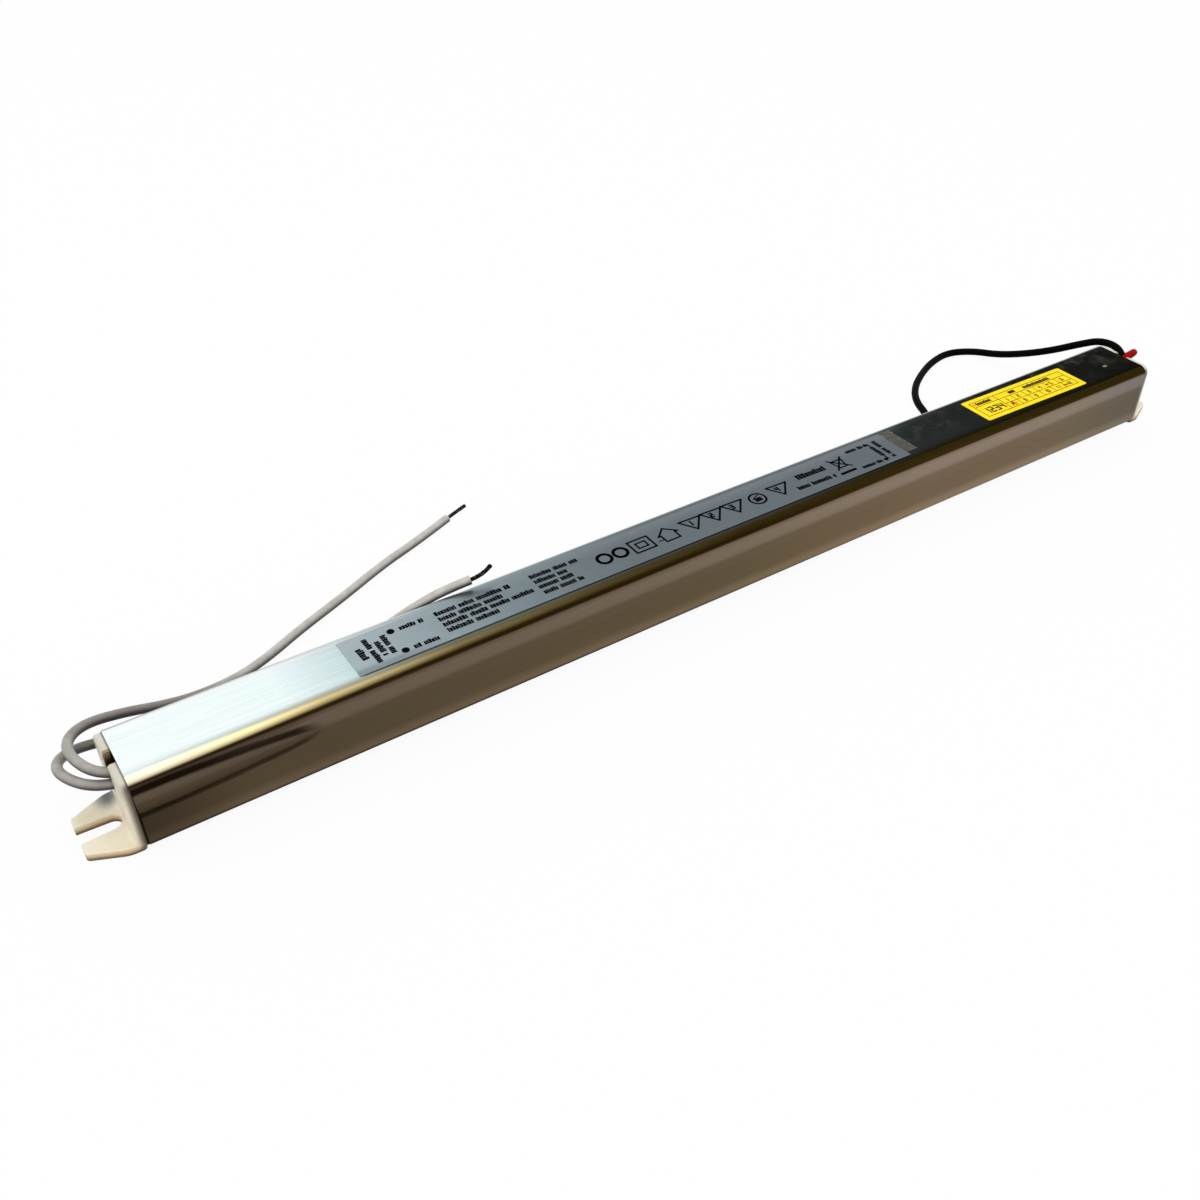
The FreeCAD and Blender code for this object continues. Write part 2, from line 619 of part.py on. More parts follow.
def make_fuse(low_x):
    radius = dim.fuse_diameter / 2
    axis_z = board_top + dim.fuse_lift + radius
    start = low_x + dim.lead_reach
    cap_radius = radius + dim.fuse_cap_step
    high = start + dim.fuse_length
    solids = [
        lying("fuse_tube", start, 0, axis_z, radius, dim.fuse_length),
        lying("fuse_cap_1", start, 0, axis_z, cap_radius, dim.fuse_cap_length),
        lying("fuse_cap_2", high - dim.fuse_cap_length, 0, axis_z, cap_radius, dim.fuse_cap_length),
    ]
    solids += bent_leads("fuse_first", start, -1, [as_size(0)], axis_z)
    solids += bent_leads("fuse_second", high, 1, [as_size(0)], axis_z)
    keep(fuse("fuse_whole", solids), "fuse")
    return high + dim.lead_reach


def make_disc(label, low_x, thickness, diameter):
    """A dipped disc on edge, facing along the tube, on two leads."""
    axis_z = board_top + dim.disc_lift + diameter / 2
    disc = bevelled(label + "_dipped", lying(label + "_disc", low_x, 0, axis_z, diameter / 2, thickness),
                    thickness / 3, rim_of(diameter))
    x = low_x + thickness / 2
    pair = [(x, -dim.disc_pitch / 2), (x, dim.disc_pitch / 2)]
    solids = [disc] + leads(label, pair, dim.lead_diameter, axis_z)
    keep(fuse(label + "_whole", solids), label)
    return low_x + thickness


def make_line_capacitor(low_x):
    length = dim.line_capacitor_length
    extent = (length, dim.line_capacitor_width, headroom - dim.case_clearance)
    block = middle_box("line_capacitor_box", low_x + length / 2, 0, board_top, extent)
    case = bevelled("line_capacitor_case", block, dim.box_edge,
                    lambda edge: edge.BoundBox.ZMax > board_top.value + 1e-3)
    middle = low_x + length / 2
    pair = [(middle - dim.line_capacitor_pitch / 2, 0), (middle + dim.line_capacitor_pitch / 2, 0)]
    solids = [case] + leads("line_capacitor", pair, dim.lead_diameter, board_top + dim.box_edge)
    keep(fuse("line_capacitor_whole", solids), "line_capacitor")
    return low_x + length


def make_choke(low_x):
    """Ring core with one winding on each side; the windings carry the leads and hold the ring."""
    build = dim.winding_build
    core_radius = (headroom - dim.choke_clearance) / 2 - build
    winding_radius = core_radius + build
    axis_z = board_top + winding_radius
    core_x = low_x + build
    whole_length = dim.choke_core_length + build * 2

    def ring(name):
        outer = lying(name + "_outer", core_x, 0, axis_z, core_radius, dim.choke_core_length)
        inner = lying(name + "_inner", core_x, 0, axis_z, dim.choke_bore_radius, dim.choke_core_length)
        return cut(name, outer, inner)

    keep(ring("choke_ring"), "choke_core")
    for label, side in (("choke_winding_live", 1), ("choke_winding_neutral", -1)):
        turn = 90 * side - dim.winding_sector.value / 2
        sector = lying(label + "_sector", low_x, 0, axis_z, winding_radius, whole_length, dim.winding_sector, turn)
        hole = lying(label + "_hole", low_x, 0, axis_z, dim.choke_bore_radius - build, whole_length)
        sleeve = cut(label + "_sleeve", cut(label + "_arch", sector, hole), ring(label + "_room"))
        y = winding_radius * 0.66 * side
        pair = [(low_x + build / 2, y), (low_x + whole_length - build / 2, y)]
        solids = [sleeve] + leads(label, pair, dim.winding_wire_diameter, axis_z)
        keep(fuse(label + "_whole", solids), label)
    return low_x + whole_length


def make_two_row(label, low_x, length, height, pitch):
    """A flat package on the board with two bent legs on each side."""
    middle = low_x + length / 2
    block = middle_box(label + "_block", middle, 0, board_top, (length, dim.dip_width, height))
    case = bevelled(label + "_case", block, dim.box_edge / 2,
                    lambda edge: edge.BoundBox.ZMax > board_top.value + 1e-3)
    solids = [case]
    row = dim.dip_row_pitch / 2
    inside = dim.dip_width / 2 - dim.box_edge
    leg_z = board_top + dim.leg_height
    for side in (-1, 1):
        for step in (-1, 1):
            x = middle + pitch / 2 * step
            name = "%s_leg_%d_%d" % (label, side + 2, step + 2)
            reach = row + dim.leg_thickness / 2 - inside
            low_y = inside if side > 0 else -inside - reach
            low_x_of_leg = x - dim.leg_width / 2
            solids.append(box(name + "_out", (low_x_of_leg, low_y, leg_z), (dim.leg_width, reach, dim.leg_thickness)))
            solids.append(middle_box(name + "_down", x, row * side, dim.board_underside,
                                     (dim.leg_width, dim.leg_thickness, leg_z - dim.board_underside)))
            lead_points.append((as_size(x), as_size(row * side), dim.leg_width + dim.leg_thickness / 2))
    keep(fuse(label + "_whole", solids), label)
    return low_x + length


def make_can(label, low_x, length, diameter, way):
    """An electrolytic capacitor lying on the board, crimped near its sealed end, with bent leads at that end."""
    radius = diameter / 2
    axis_z = board_top + radius
    room = dim.lead_reach
    start = low_x + room if way < 0 else low_x
    can = bevelled(label + "_drawn", lying(label + "_can", start, 0, axis_z, radius, length), dim.box_edge,
                   rim_of(diameter))
    sealed = start if way < 0 else start + length
    groove_x = sealed - dim.can_crimp_inset * way - dim.can_crimp_width / 2
    ring = lying(label + "_ring", groove_x, 0, axis_z, radius + dim.can_crimp_depth, dim.can_crimp_width)
    waist = lying(label + "_waist", groove_x, 0, axis_z, radius - dim.can_crimp_depth, dim.can_crimp_width)
    crimped = cut(label + "_crimped", can, cut(label + "_groove", ring, waist))
    offsets = [-radius / 2, radius / 2]
    keep(fuse(label + "_whole", [crimped] + bent_leads(label, sealed, way, offsets, axis_z)), label)
    return start + length + (room if way > 0 else as_size(0))


def make_inductor(middle_x):
    """Ferrite drum with its winding between two flanges, standing on the board."""
    radius = dim.inductor_diameter / 2
    tall, flange = headroom - dim.drum_clearance, dim.inductor_flange
    solids = [
        upright("inductor_foot", middle_x, 0, board_top, radius, flange),
        upright("inductor_turns", middle_x, 0, board_top, radius - dim.inductor_waist, tall),
        upright("inductor_head", middle_x, 0, board_top + tall - flange, radius, flange),
    ]
    pair = [(middle_x, -dim.disc_pitch / 2), (middle_x, dim.disc_pitch / 2)]
    solids += leads("inductor", pair, dim.lead_diameter, board_top + flange)
    keep(fuse("inductor_whole", solids), "output_inductor")


def make_transformer(middle_x):
    """Two E-shaped core halves meet in the middle of a bobbin that stands on two pin rails."""
    core_low = board_top + dim.rail_height
    flange_top = strip_low - dim.bobbin_clearance_above
    core_height = flange_top - dim.core_top_gap - core_low
    axis_z = core_low + core_height / 2
    window_y = core_width / 2 - dim.core_outer_leg
    window_length = dim.core_half_length - dim.core_back
    leg_y, leg_z = dim.core_middle_leg, core_height - dim.core_leg_step * 2
    for label, way in (("transformer_core_input", -1), ("transformer_core_output", 1)):
        block_x = middle_x + dim.core_half_length / 2 * way
        block = middle_box(label + "_block", block_x, 0, core_low, (dim.core_half_length, core_width, core_height))
        window_x = middle_x + window_length / 2 * way
        window = middle_box(label + "_window", window_x, 0, core_low, (window_length, window_y * 2, core_height))
        middle_leg = middle_box(label + "_leg", window_x, 0, axis_z - leg_z / 2, (window_length, leg_y, leg_z))
        keep(fuse(label + "_whole", [cut(label + "_frame", block, window), middle_leg]), label)

    bore_y, bore_z = leg_y + dim.bobbin_clearance * 2, leg_z + dim.bobbin_clearance * 2
    tube_y, tube_z = bore_y + dim.bobbin_wall * 2, bore_z + dim.bobbin_wall * 2
    inner_length = window_length * 2 - dim.bobbin_clearance * 2
    flange_y = (window_y - dim.bobbin_side_gap) * 2
    solids = [middle_box("bobbin_tube", middle_x, 0, axis_z - tube_z / 2, (inner_length, tube_y, tube_z))]
    rail_points = []
    for way in (-1, 1):
        flange_x = middle_x + (inner_length - dim.bobbin_wall) / 2 * way
        solids.append(middle_box("bobbin_flange_%d" % (way + 2), flange_x, 0, board_top,
                                 (dim.bobbin_wall, flange_y, flange_top - board_top)))
        rail_x = middle_x + (inner_length - dim.bobbin_wall + dim.rail_length) / 2 * way
        rail_height = dim.rail_height - dim.bobbin_clearance
        solids.append(middle_box("bobbin_rail_%d" % (way + 2), rail_x, 0, board_top,
                                 (dim.rail_length, core_width, rail_height)))
        spread = (dim.rail_pin_count - 1) / 2
        for n in range(int(dim.rail_pin_count.value)):
            rail_points.append((rail_x, (spread * -1 + n) * dim.rail_pin_pitch))
    solids += leads("transformer", rail_points, dim.lead_diameter, board_top + dim.rail_height / 2)
    through = middle_box("bobbin_bore", middle_x, 0, axis_z - bore_z / 2,
                         (inner_length + dim.bobbin_wall, bore_y, bore_z))
    keep(cut("bobbin_hollow", fuse("bobbin_whole", solids), through), "transformer_bobbin")

    turns_length = inner_length - dim.bobbin_wall * 2
    turns_y = flange_y - dim.winding_gap * 2
    turns_top = flange_top - dim.winding_gap
    turns_low = axis_z * 2 - turns_top
    block = middle_box("winding_block", middle_x, 0, turns_low, (turns_length, turns_y, turns_top - turns_low))
    turns = bevelled("winding_wrap", block, dim.bobbin_wall,
                     lambda edge: abs(edge.Length - turns_length.value) < 1e-3)
    room = middle_box("winding_room", middle_x, 0, axis_z - tube_z / 2, (turns_length, tube_y, tube_z))
    keep(cut("winding_sleeve", turns, room), "transformer_winding")


def make_power_package(label, pad_label, x):
    """A flat power package under the board; its thermal pad carries the heat to the tube."""
    case_low = dim.board_underside - dim.transistor_height
    extent = (dim.transistor_length, dim.transistor_width, dim.transistor_height)
    case = bevelled(label + "_case", middle_box(label + "_block", x, 0, case_low, extent), dim.box_edge / 2,
                    lambda edge: edge.BoundBox.ZMin < dim.board_underside.value - 1e-3)
    tab_low = dim.board_underside - dim.tab_thickness
    half = dim.transistor_length / 2
    solids = [case, box(label + "_tab", (x + half - dim.tab_reach, -dim.transistor_width / 2 + dim.box_edge, tab_low),
                        (dim.tab_reach * 2, dim.transistor_width - dim.box_edge * 2, dim.tab_thickness))]
    for side in (-1, 1):
        leg_x = x - half - dim.transistor_leg_reach / 2 + dim.box_edge / 2
        solids.append(middle_box("%s_leg_%d" % (label, side + 2), leg_x, dim.transistor_leg_pitch / 2 * side, tab_low,
                                 (dim.transistor_leg_reach + dim.box_edge, dim.transistor_leg_width, dim.tab_thickness)))
    keep(fuse(label + "_whole", solids), label)
    extent = (dim.transistor_length + dim.pad_overhang * 2, dim.transistor_width + dim.pad_overhang * 2,
              case_low - dim.housing_wall)
    keep(middle_box(pad_label, x, 0, dim.housing_wall, extent), pad_label)
    margin = dim.film_window_margin * 2
    return middle_box(pad_label + "_window", x, 0, dim.housing_wall, (extent[0] + margin, extent[1] + margin,
                                                                       dim.film_thickness))


def make_controller(x):
    """The control chip under the board, with small legs on both sides."""
    low_z = dim.board_underside - dim.controller_height
    solids = [middle_box("controller_body", x, 0, low_z,
                         (dim.controller_length, dim.controller_width, dim.controller_height))]
    spread = (dim.controller_leg_count - 1) / 2
    for side in (-1, 1):
        for n in range(int(dim.controller_leg_count.value)):
            leg_x = x + (spread * -1 + n) * dim.controller_leg_pitch
            leg_y = (dim.controller_width + dim.controller_leg_reach) / 2 * side
            solids.append(middle_box("controller_leg_%d_%d" % (side + 2, n + 1), leg_x, leg_y,
                                     dim.board_underside - dim.leg_thickness,
                                     (dim.controller_leg_width, dim.controller_leg_reach, dim.leg_thickness)))
    keep(fuse("controller_whole", solids), "controller_chip")


def make_chips(label, first_x, rows):
    """Rows of small resistors soldered under the board."""
    solids = []
    for side in rows:
        for n in range(int(dim.chip_count.value)):
            solids.append(middle_box("%s_%d_%d" % (label, side + 2, n + 1), first_x + dim.chip_pitch * n,
                                     dim.chip_rows_apart / 2 * side, dim.board_underside - dim.chip_height,
                                     (dim.chip_width, dim.chip_length, dim.chip_height)))
    keep(group(label + "_group", solids), label)


def make_solder(name, x, y):
    """Solder round a lead under the board: a blunt pyramid, wide at the board."""
    joint = doc.addObject("Part::Wedge", name)
    spread, tip = dim.solder_spread / 2, dim.solder_tip / 2
    for low, high, reach in (("Xmin", "Xmax", tip), ("Zmin", "Zmax", tip), ("X2min", "X2max", spread),
                             ("Z2min", "Z2max", spread)):
        bind(joint, low, -reach)
        bind(joint, high, reach)
    bind(joint, "Ymin", 0)
    bind(joint, "Ymax", dim.solder_height)
    joint.Placement = FreeCAD.Placement(FreeCAD.Vector(), FreeCAD.Rotation(FreeCAD.Vector(1, 0, 0), 90))
    return place(joint, x, y, dim.board_underside - dim.solder_height)


def make_board():
    """Fibreglass board in the tube's grooves, drilled for every lead."""
    board_y = wall_y - dim.board_side_clearance
    blank = middle_box("board_blank", 0, 0, dim.board_underside, (board_half * 2, board_y * 2, dim.board_thickness))
    drills = []
    solder = []
    for n, (x, y, diameter) in enumerate(lead_points):
        drill_radius = diameter / 2 + dim.lead_hole_clearance
        drill = flat_sided("drill_%d" % (n + 1), dim.hole_sides, drill_radius, dim.board_thickness)
        drills.append(place(drill, x, y, dim.board_underside))
        solder.append(make_solder("solder_%d" % (n + 1), x, y))
    keep(cut("board_drilled", blank, group("board_drills", drills)), "circuit_board")
    keep(group("solder_group", solder), "solder_joints")


def make_films(windows):
    """Insulating film: a tray under the board with windows for the thermal pads, and a strip under the tube's top."""
    flat_y = wall_y - cavity_corner
    length = board_half * 2
    tray = middle_box("film_tray", 0, 0, dim.housing_wall, (length, flat_y * 2, dim.film_upturn))
    room = middle_box("film_room", 0, 0, dim.housing_wall + dim.film_thickness,
                      (length, (flat_y - dim.film_thickness) * 2, dim.film_upturn))
    keep(cut("film_open", cut("film_bent", tray, room), group("film_windows", windows)), "insulating_tray")
    keep(middle_box("insulating_strip", 0, 0, strip_low, (length, flat_y * 2, dim.film_thickness)), "insulating_strip")


def make_circuit():
    """Places the output side from one end of the board, then the mains side from the other up to the gap between."""
    x = board_half - dim.pad_zone - dim.inductor_diameter / 2
    make_inductor(x)
    x = x - dim.inductor_diameter / 2
    room = dim.output_can_length + dim.lead_reach + dim.spacing
    for n in (1, 2):
        x = x - room
        make_can("output_capacitor_%d" % n, x, dim.output_can_length, dim.output_can_diameter, 1)
    windows = [make_power_package("output_rectifier", "thermal_pad_output", x + room + dim.output_can_length / 2)]
    make_chips("feedback_resistors", x + dim.chip_width, (1,))
    x = x - dim.spacing - dim.coupler_length
    make_two_row("optocoupler", x, dim.coupler_length, dim.coupler_height, dim.coupler_leg_pitch)
    x = x - dim.spacing - dim.suppressor_thickness
    make_disc("suppressor_capacitor", x, dim.suppressor_thickness, dim.suppressor_diameter)
    x = x - dim.spacing - dim.core_half_length
    make_transformer(x)
    x = x - dim.core_half_length - dim.spacing - dim.startup_can_length - dim.lead_reach
    make_can("startup_capacitor", x, dim.startup_can_length, dim.startup_can_diameter, -1)
    make_controller(x - dim.controller_from_leads)
    last_x = x - dim.isolation_gap

    x = dim.pad_zone - board_half
    x = make_fuse(x) + dim.spacing
    x = make_disc("thermistor", x, dim.thermistor_thickness, dim.thermistor_diameter) + dim.spacing
    varistor_diameter = headroom - dim.disc_lift - dim.disc_clearance
    x = make_disc("varistor", x, dim.varistor_thickness, varistor_diameter) + dim.spacing
    x = make_line_capacitor(x) + dim.spacing
    x = make_choke(x) + dim.spacing
    x = make_two_row("bridge_rectifier", x, dim.bridge_length, dim.bridge_height, dim.bridge_leg_pitch) + dim.spacing
    make_chips("control_resistors", x + dim.chips_from_leads, (-1, 1))
    can_length = (last_x - x - dim.spacing) / 2 - dim.lead_reach
    for n in (1, 2):
        leads_x = x
        x = make_can("reservoir_capacitor_%d" % n, x, can_length, headroom - dim.can_clearance, -1) + dim.spacing
    windows.append(make_power_package("switching_transistor", "thermal_pad_mains", leads_x + dim.transistor_from_leads))
    make_films(windows)


# Labels on the flat top

def make_labels():
    label_x, label_y = -dim.housing_length * dim.label_share, dim.label_middle_y
    flat = dim.label_thickness
    keep(middle_box("main_label", label_x, label_y, dim.housing_height, (dim.label_length, dim.label_width, flat)),
         "main_label")
    tape_x = label_x + dim.label_length / 2 + dim.tape_gap
    tape_y = label_y + (dim.label_width - dim.tape_width) / 2
    keep(middle_box("clear_tape", tape_x + dim.tape_length / 2, tape_y, dim.housing_height,
                    (dim.tape_length, dim.tape_width, flat)), "clear_tape")
    sticker = doc.addObject("PartDesign::Body", "yellow_sticker")
    outline = sketch_on(sticker, "sticker_outline", "XY_Plane")
    half_l, half_w = dim.sticker_length / 2, dim.sticker_width / 2
    add_loop(outline, rounded_loop(-half_l, -half_w, half_l, half_w, dim.box_edge))
    pad(sticker, "sticker_film", outline, flat)
    askew = FreeCAD.Rotation(FreeCAD.Vector(0, 0, 1), dim.sticker_turn.value)
    sticker.Placement = FreeCAD.Placement(FreeCAD.Vector(), askew)
    keep(place(sticker, dim.housing_length * dim.sticker_share, 0, dim.housing_height), "yellow_sticker")


# Wires: straight runs joined by tangent arcs, as large as the runs allow

def corner_arc(before, point, after):
    """Radius and tangent points of the arc that rounds one point of a route."""
    into, out = point.sub(before), after.sub(point)
    turn = into.getAngle(out)
    shorter = min(into.Length, out.Length)
    reach = ARC_SHARE * shorter
    radius = reach / math.tan(turn / 2)
    start = point - into * (reach / into.Length)
    end = point + out * (reach / out.Length)
    middle_way = (out * (1 / out.Length) - into * (1 / into.Length)).normalize()
    to_centre = radius / math.cos(turn / 2)
    middle = point + middle_way * (to_centre - radius)
    return radius, start, middle, end


def make_tube(label, route, diameter, sides):
    """A solid along a route; prints its tightest bend and compares its volume with section times length."""
    points = [FreeCAD.Vector(*point) for point in route]
    edges, radii, here = [], [], points[0]
    for before, point, after in zip(points, points[1:], points[2:]):
        radius, start, middle, end = corner_arc(before, point, after)
        edges.append(Part.LineSegment(here, start).toShape())
        edges.append(Part.Arc(start, middle, end).toShape())
        radii.append(radius)
        here = end
    edges.append(Part.LineSegment(here, points[-1]).toShape())
    spine = Part.Wire(edges)
    along, up = points[1].sub(points[0]).normalize(), FreeCAD.Vector(0, 0, 1)
    across = along.cross(up).normalize()
    up = across.cross(along)
    turns = [2 * math.pi * (n + 0.5) / sides.value for n in range(round(sides.value))]
    reach = diameter.value / 2
    rim = [points[0] + (across * math.cos(turn) + up * math.sin(turn)) * reach for turn in turns]
    shape = spine.makePipeShell([Part.makePolygon(rim + rim[:1])], True, False)
    thing = doc.addObject("Part::Feature", label + "_solid")
    thing.Shape = shape
    thing.Placement = FreeCAD.Placement()
    expected = sides.value / 2 * math.sin(2 * math.pi / sides.value) * reach ** 2 * spine.Length
    if abs(shape.Volume / expected - 1) > 0.01:
        raise ValueError("%s: volume is not section times length" % label)
    print("%s: length %.1f, tightest bend %.1f, radii %s" % (
        label, spine.Length, min(radii), " ".join("%.1f" % radius for radius in radii)))
    keep(thing, label)


def make_terminals():
    """The tinned end of each wire, laid flat on the board and soldered down."""
    terminals = []
    radius, axis_z = dim.terminal_width / 2, board_top + dim.terminal_axis
    for end in (-1, 1):
        outer_x = (board_half - dim.terminal_from_end) * end
        low_x = outer_x if end < 0 else outer_x - dim.terminal_length
        for side in (-1, 1):
            name = "terminal_%d_%d" % (end + 2, side + 2)
            y = dim.terminal_pitch / 2 * side
            bed = middle_box(name + "_bed", low_x + dim.terminal_length / 2, y, board_top,
                             (dim.terminal_length, dim.terminal_width, dim.terminal_axis))
            terminals.append(fuse(name, [bed, lying(name + "_end", low_x, y, axis_z, radius, dim.terminal_length)]))
    keep(group("terminal_group", terminals), "wire_terminals")


def make_wires():
    wires = {
        "live_wire": (LIVE_ROUTE, LIVE_TIP), "neutral_wire": (NEUTRAL_ROUTE, NEUTRAL_TIP),
        "negative_wire": (NEGATIVE_ROUTE, NEGATIVE_TIP), "positive_wire": (POSITIVE_ROUTE, POSITIVE_TIP),
    }
    for label, (route, tip) in wires.items():
        make_tube(label, route, dim.wire_diameter, dim.wire_sides)
        before, end = FreeCAD.Vector(*route[-2]), FreeCAD.Vector(*route[-1])
        onward = end + end.sub(before).normalize() * dim.strand_straight.value
        make_tube(label + "_strands", [end, onward, tip], dim.strand_diameter, dim.lead_sides)


def check_and_write():
    """Stops on any failed object, empty cut or unsound shape, and writes one file for each sub-part."""
    for thing in doc.Objects:
        if "Invalid" in thing.State or "Error" in thing.State:
            raise ValueError("%s failed: %s" % (thing.Name, thing.State))
        if thing.TypeId == "PartDesign::Pocket":
            if thing.BaseFeature.Shape.Volume - thing.Shape.Volume < 1e-3:
                raise ValueError("%s cuts nothing" % thing.Name)
    os.makedirs("parts", exist_ok=True)
    for thing in sub_parts:
        if thing.Shape.isNull() or not thing.Shape.isValid():
            raise ValueError("%s has no sound shape" % thing.Label)
    for thing in sub_parts:
        thing.Shape.exportStep("parts/%s.step" % thing.Label)
    print("%d sub-parts written" % len(sub_parts))


make_housing()
make_caps()
make_circuit()
make_board()
make_labels()
make_terminals()
make_wires()
doc.recompute()
check_and_write()
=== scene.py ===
import math
import random

import bpy
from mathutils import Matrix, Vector


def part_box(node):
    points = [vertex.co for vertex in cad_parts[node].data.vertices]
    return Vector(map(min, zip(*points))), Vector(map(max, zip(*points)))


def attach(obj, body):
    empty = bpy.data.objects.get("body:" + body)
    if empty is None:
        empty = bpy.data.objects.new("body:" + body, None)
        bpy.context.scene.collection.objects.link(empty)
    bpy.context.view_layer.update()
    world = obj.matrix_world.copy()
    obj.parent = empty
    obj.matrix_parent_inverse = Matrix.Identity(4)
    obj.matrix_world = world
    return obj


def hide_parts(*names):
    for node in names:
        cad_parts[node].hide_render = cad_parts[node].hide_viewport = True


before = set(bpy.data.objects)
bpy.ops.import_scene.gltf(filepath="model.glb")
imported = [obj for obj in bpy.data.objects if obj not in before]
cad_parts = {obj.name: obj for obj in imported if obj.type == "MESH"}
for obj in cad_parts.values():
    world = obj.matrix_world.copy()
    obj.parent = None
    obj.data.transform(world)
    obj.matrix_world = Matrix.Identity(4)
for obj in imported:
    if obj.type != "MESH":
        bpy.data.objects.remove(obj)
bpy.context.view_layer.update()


# Circuit board: green fibreglass laminate with a solder mask over its copper tracks.
# It is sawn from a panel and slid into the grooves inside the tube. It is the first piece to get a finish,
# so the classes that make every finish stand here.

def paint(red, green, blue):
    """A colour as it looks on a screen, 0 to 255, as the shader's own linear numbers."""
    shown = (red / 255, green / 255, blue / 255)
    return tuple((v / 12.92 if v <= 0.04045 else ((v + 0.055) / 1.055) ** 2.4) for v in shown) + (1.0,)


class Signal:
    """A value in a finish; ordinary arithmetic on it adds the Math nodes."""

    def __init__(self, finish, socket):
        self.finish = finish
        self.socket = socket

    def maths(self, operation, *values):
        return self.finish.add("ShaderNodeMath", {"operation": operation}, values)

    def __add__(self, other):
        return self.maths("ADD", self, other)

    __radd__ = __add__

    def __sub__(self, other):
        return self.maths("SUBTRACT", self, other)

    def __rsub__(self, other):
        return self.maths("SUBTRACT", other, self)

    def __mul__(self, other):
        return self.maths("MULTIPLY", self, other)

    __rmul__ = __mul__

    def __truediv__(self, other):
        return self.maths("DIVIDE", self, other)

    def __abs__(self):
        return self.maths("ABSOLUTE", self)

    def sine(self):
        return self.maths("SINE", self)

    def root(self):
        return self.maths("SQRT", self)

    def between(self, low, high):
        """0 at low, 1 at high, smooth in between; low may be the greater."""
        wanted = {"Value": self, "From Min": low, "From Max": high}
        return self.finish.add("ShaderNodeMapRange", {"interpolation_type": "SMOOTHSTEP"}, wanted)

    def ramp(self, *stops):
        """Colours or greys along this value, given as (place, colour) pairs."""
        return self.finish.add("ShaderNodeValToRGB", {"stops": stops}, [self])


class Finish:
    """One material: a Principled surface, with every other node added by one method."""

    def __init__(self, name, **plain):
        self.material = bpy.data.materials.new(name)
        self.material.use_nodes = True
        self.tree = self.material.node_tree
        self.tree.nodes.clear()
        self.surface = self.tree.nodes.new("ShaderNodeBsdfPrincipled")
        self.out = self.tree.nodes.new("ShaderNodeOutputMaterial")
        self.tree.links.new(self.surface.outputs[0], self.out.inputs["Surface"])
        for socket, value in plain.items():
            self.surface.inputs[socket.replace("_", " ")].default_value = value

    def add(self, kind, settings, values, result=0):
        node = self.tree.nodes.new(kind)
        for name, setting in settings.items():
            if name != "stops":
                setattr(node, name, setting)
                continue
            band = node.color_ramp.elements
            while len(band) < len(setting):
                band.new(0.5)
            for stop, (place, colour) in zip(band, setting):
                stop.position = place
                stop.color = colour if isinstance(colour, tuple) else (colour, colour, colour, 1.0)
        for name, value in (values.items() if isinstance(values, dict) else enumerate(values)):
            if isinstance(value, Signal):
                self.tree.links.new(value.socket, node.inputs[name])
            else:
                node.inputs[name].default_value = value
        return Signal(self, node.outputs[result])

    def place(self):
        """x, y and z on the piece in millimetres of the shared frame."""
        coordinates = self.add("ShaderNodeTexCoord", {}, {}, "Object")
        split = self.add("ShaderNodeSeparateXYZ", {}, [coordinates])
        return [Signal(self, split.socket.node.outputs[axis]) * 1000 for axis in range(3)]

    def grain(self, scale, stretch=(1, 1, 1), detail=4.0, rough=0.5):
        """Noise with about one patch every 1/scale metres, drawn out along an axis by a smaller stretch."""
        coordinates = self.add("ShaderNodeTexCoord", {}, {}, "Object")
        drawn = self.add("ShaderNodeMapping", {}, {"Vector": coordinates, "Scale": stretch})
        wanted = {"Vector": drawn, "Scale": scale, "Detail": detail, "Roughness": rough}
        return self.add("ShaderNodeTexNoise", {}, wanted)

    def blend(self, amount, first, second, how="MIX"):
        settings = {"data_type": "RGBA", "blend_type": how}
        return self.add("ShaderNodeMix", settings, {0: amount, 6: first, 7: second}, 2)

    def layers(self, ground, *coats):
        """Colours laid over a ground one after another, given as (amount, colour) pairs."""
        for amount, colour in coats:
            ground = self.blend(amount, ground, colour if isinstance(colour, Signal) else paint(*colour))
        return ground

    def relief(self, height, strength, distance=0.0001):
        bump = self.add("ShaderNodeBump", {}, {"Strength": strength, "Distance": distance, "Height": height})
        self.tree.links.new(bump.socket, self.surface.inputs["Normal"])

    def feed(self, **signals):
        for socket, signal in signals.items():
            self.tree.links.new(signal.socket, self.surface.inputs[socket.replace("_", " ")])


def dress(finish, *nodes):
    """Gives a finish to parts that come from the frame as they are."""
    for node in nodes:
        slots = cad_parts[node].data.materials
        slots.clear()
        slots.append(finish.material)


laminate = Finish("board_laminate", Roughness=0.4)
tracks = laminate.grain(900, (0.25, 1, 1), 2.0).between(0.47, 0.53)
laminate.feed(Base_Color=laminate.blend(tracks, paint(20, 84, 44), paint(34, 108, 58)))
laminate.relief(tracks, 0.3, 0.00003)
dress(laminate, "circuit_board")


# Solder joints and the tinned wire ends: tin alloy, drawn up round each lead by the wave bath.
# It is bright where it flowed and dull where it cooled last.

solder = Finish("tin_solder", Metallic=1.0)
wetted = solder.grain(2600, detail=3.0)
solder.feed(Base_Color=solder.blend(wetted.between(0.35, 0.65), paint(205, 207, 210), paint(150, 152, 156)))
solder.feed(Roughness=wetted.between(0.3, 0.7) * 0.25 + 0.2)
solder.relief(wetted, 0.2)
dress(solder, "solder_joints", "wire_terminals")


# Insulating films: a folded tray of milky polyester under the board and a flat strip of it over the parts.
# Both are cut from sheet and held by the tube itself.

film = Finish("milky_film", Roughness=0.3)
haze = film.grain(260, (0.3, 1, 1))
film.feed(Base_Color=film.blend(haze, paint(222, 222, 212), paint(236, 236, 228)))
film.relief(haze, 0.1)
dress(film, "insulating_tray", "insulating_strip")


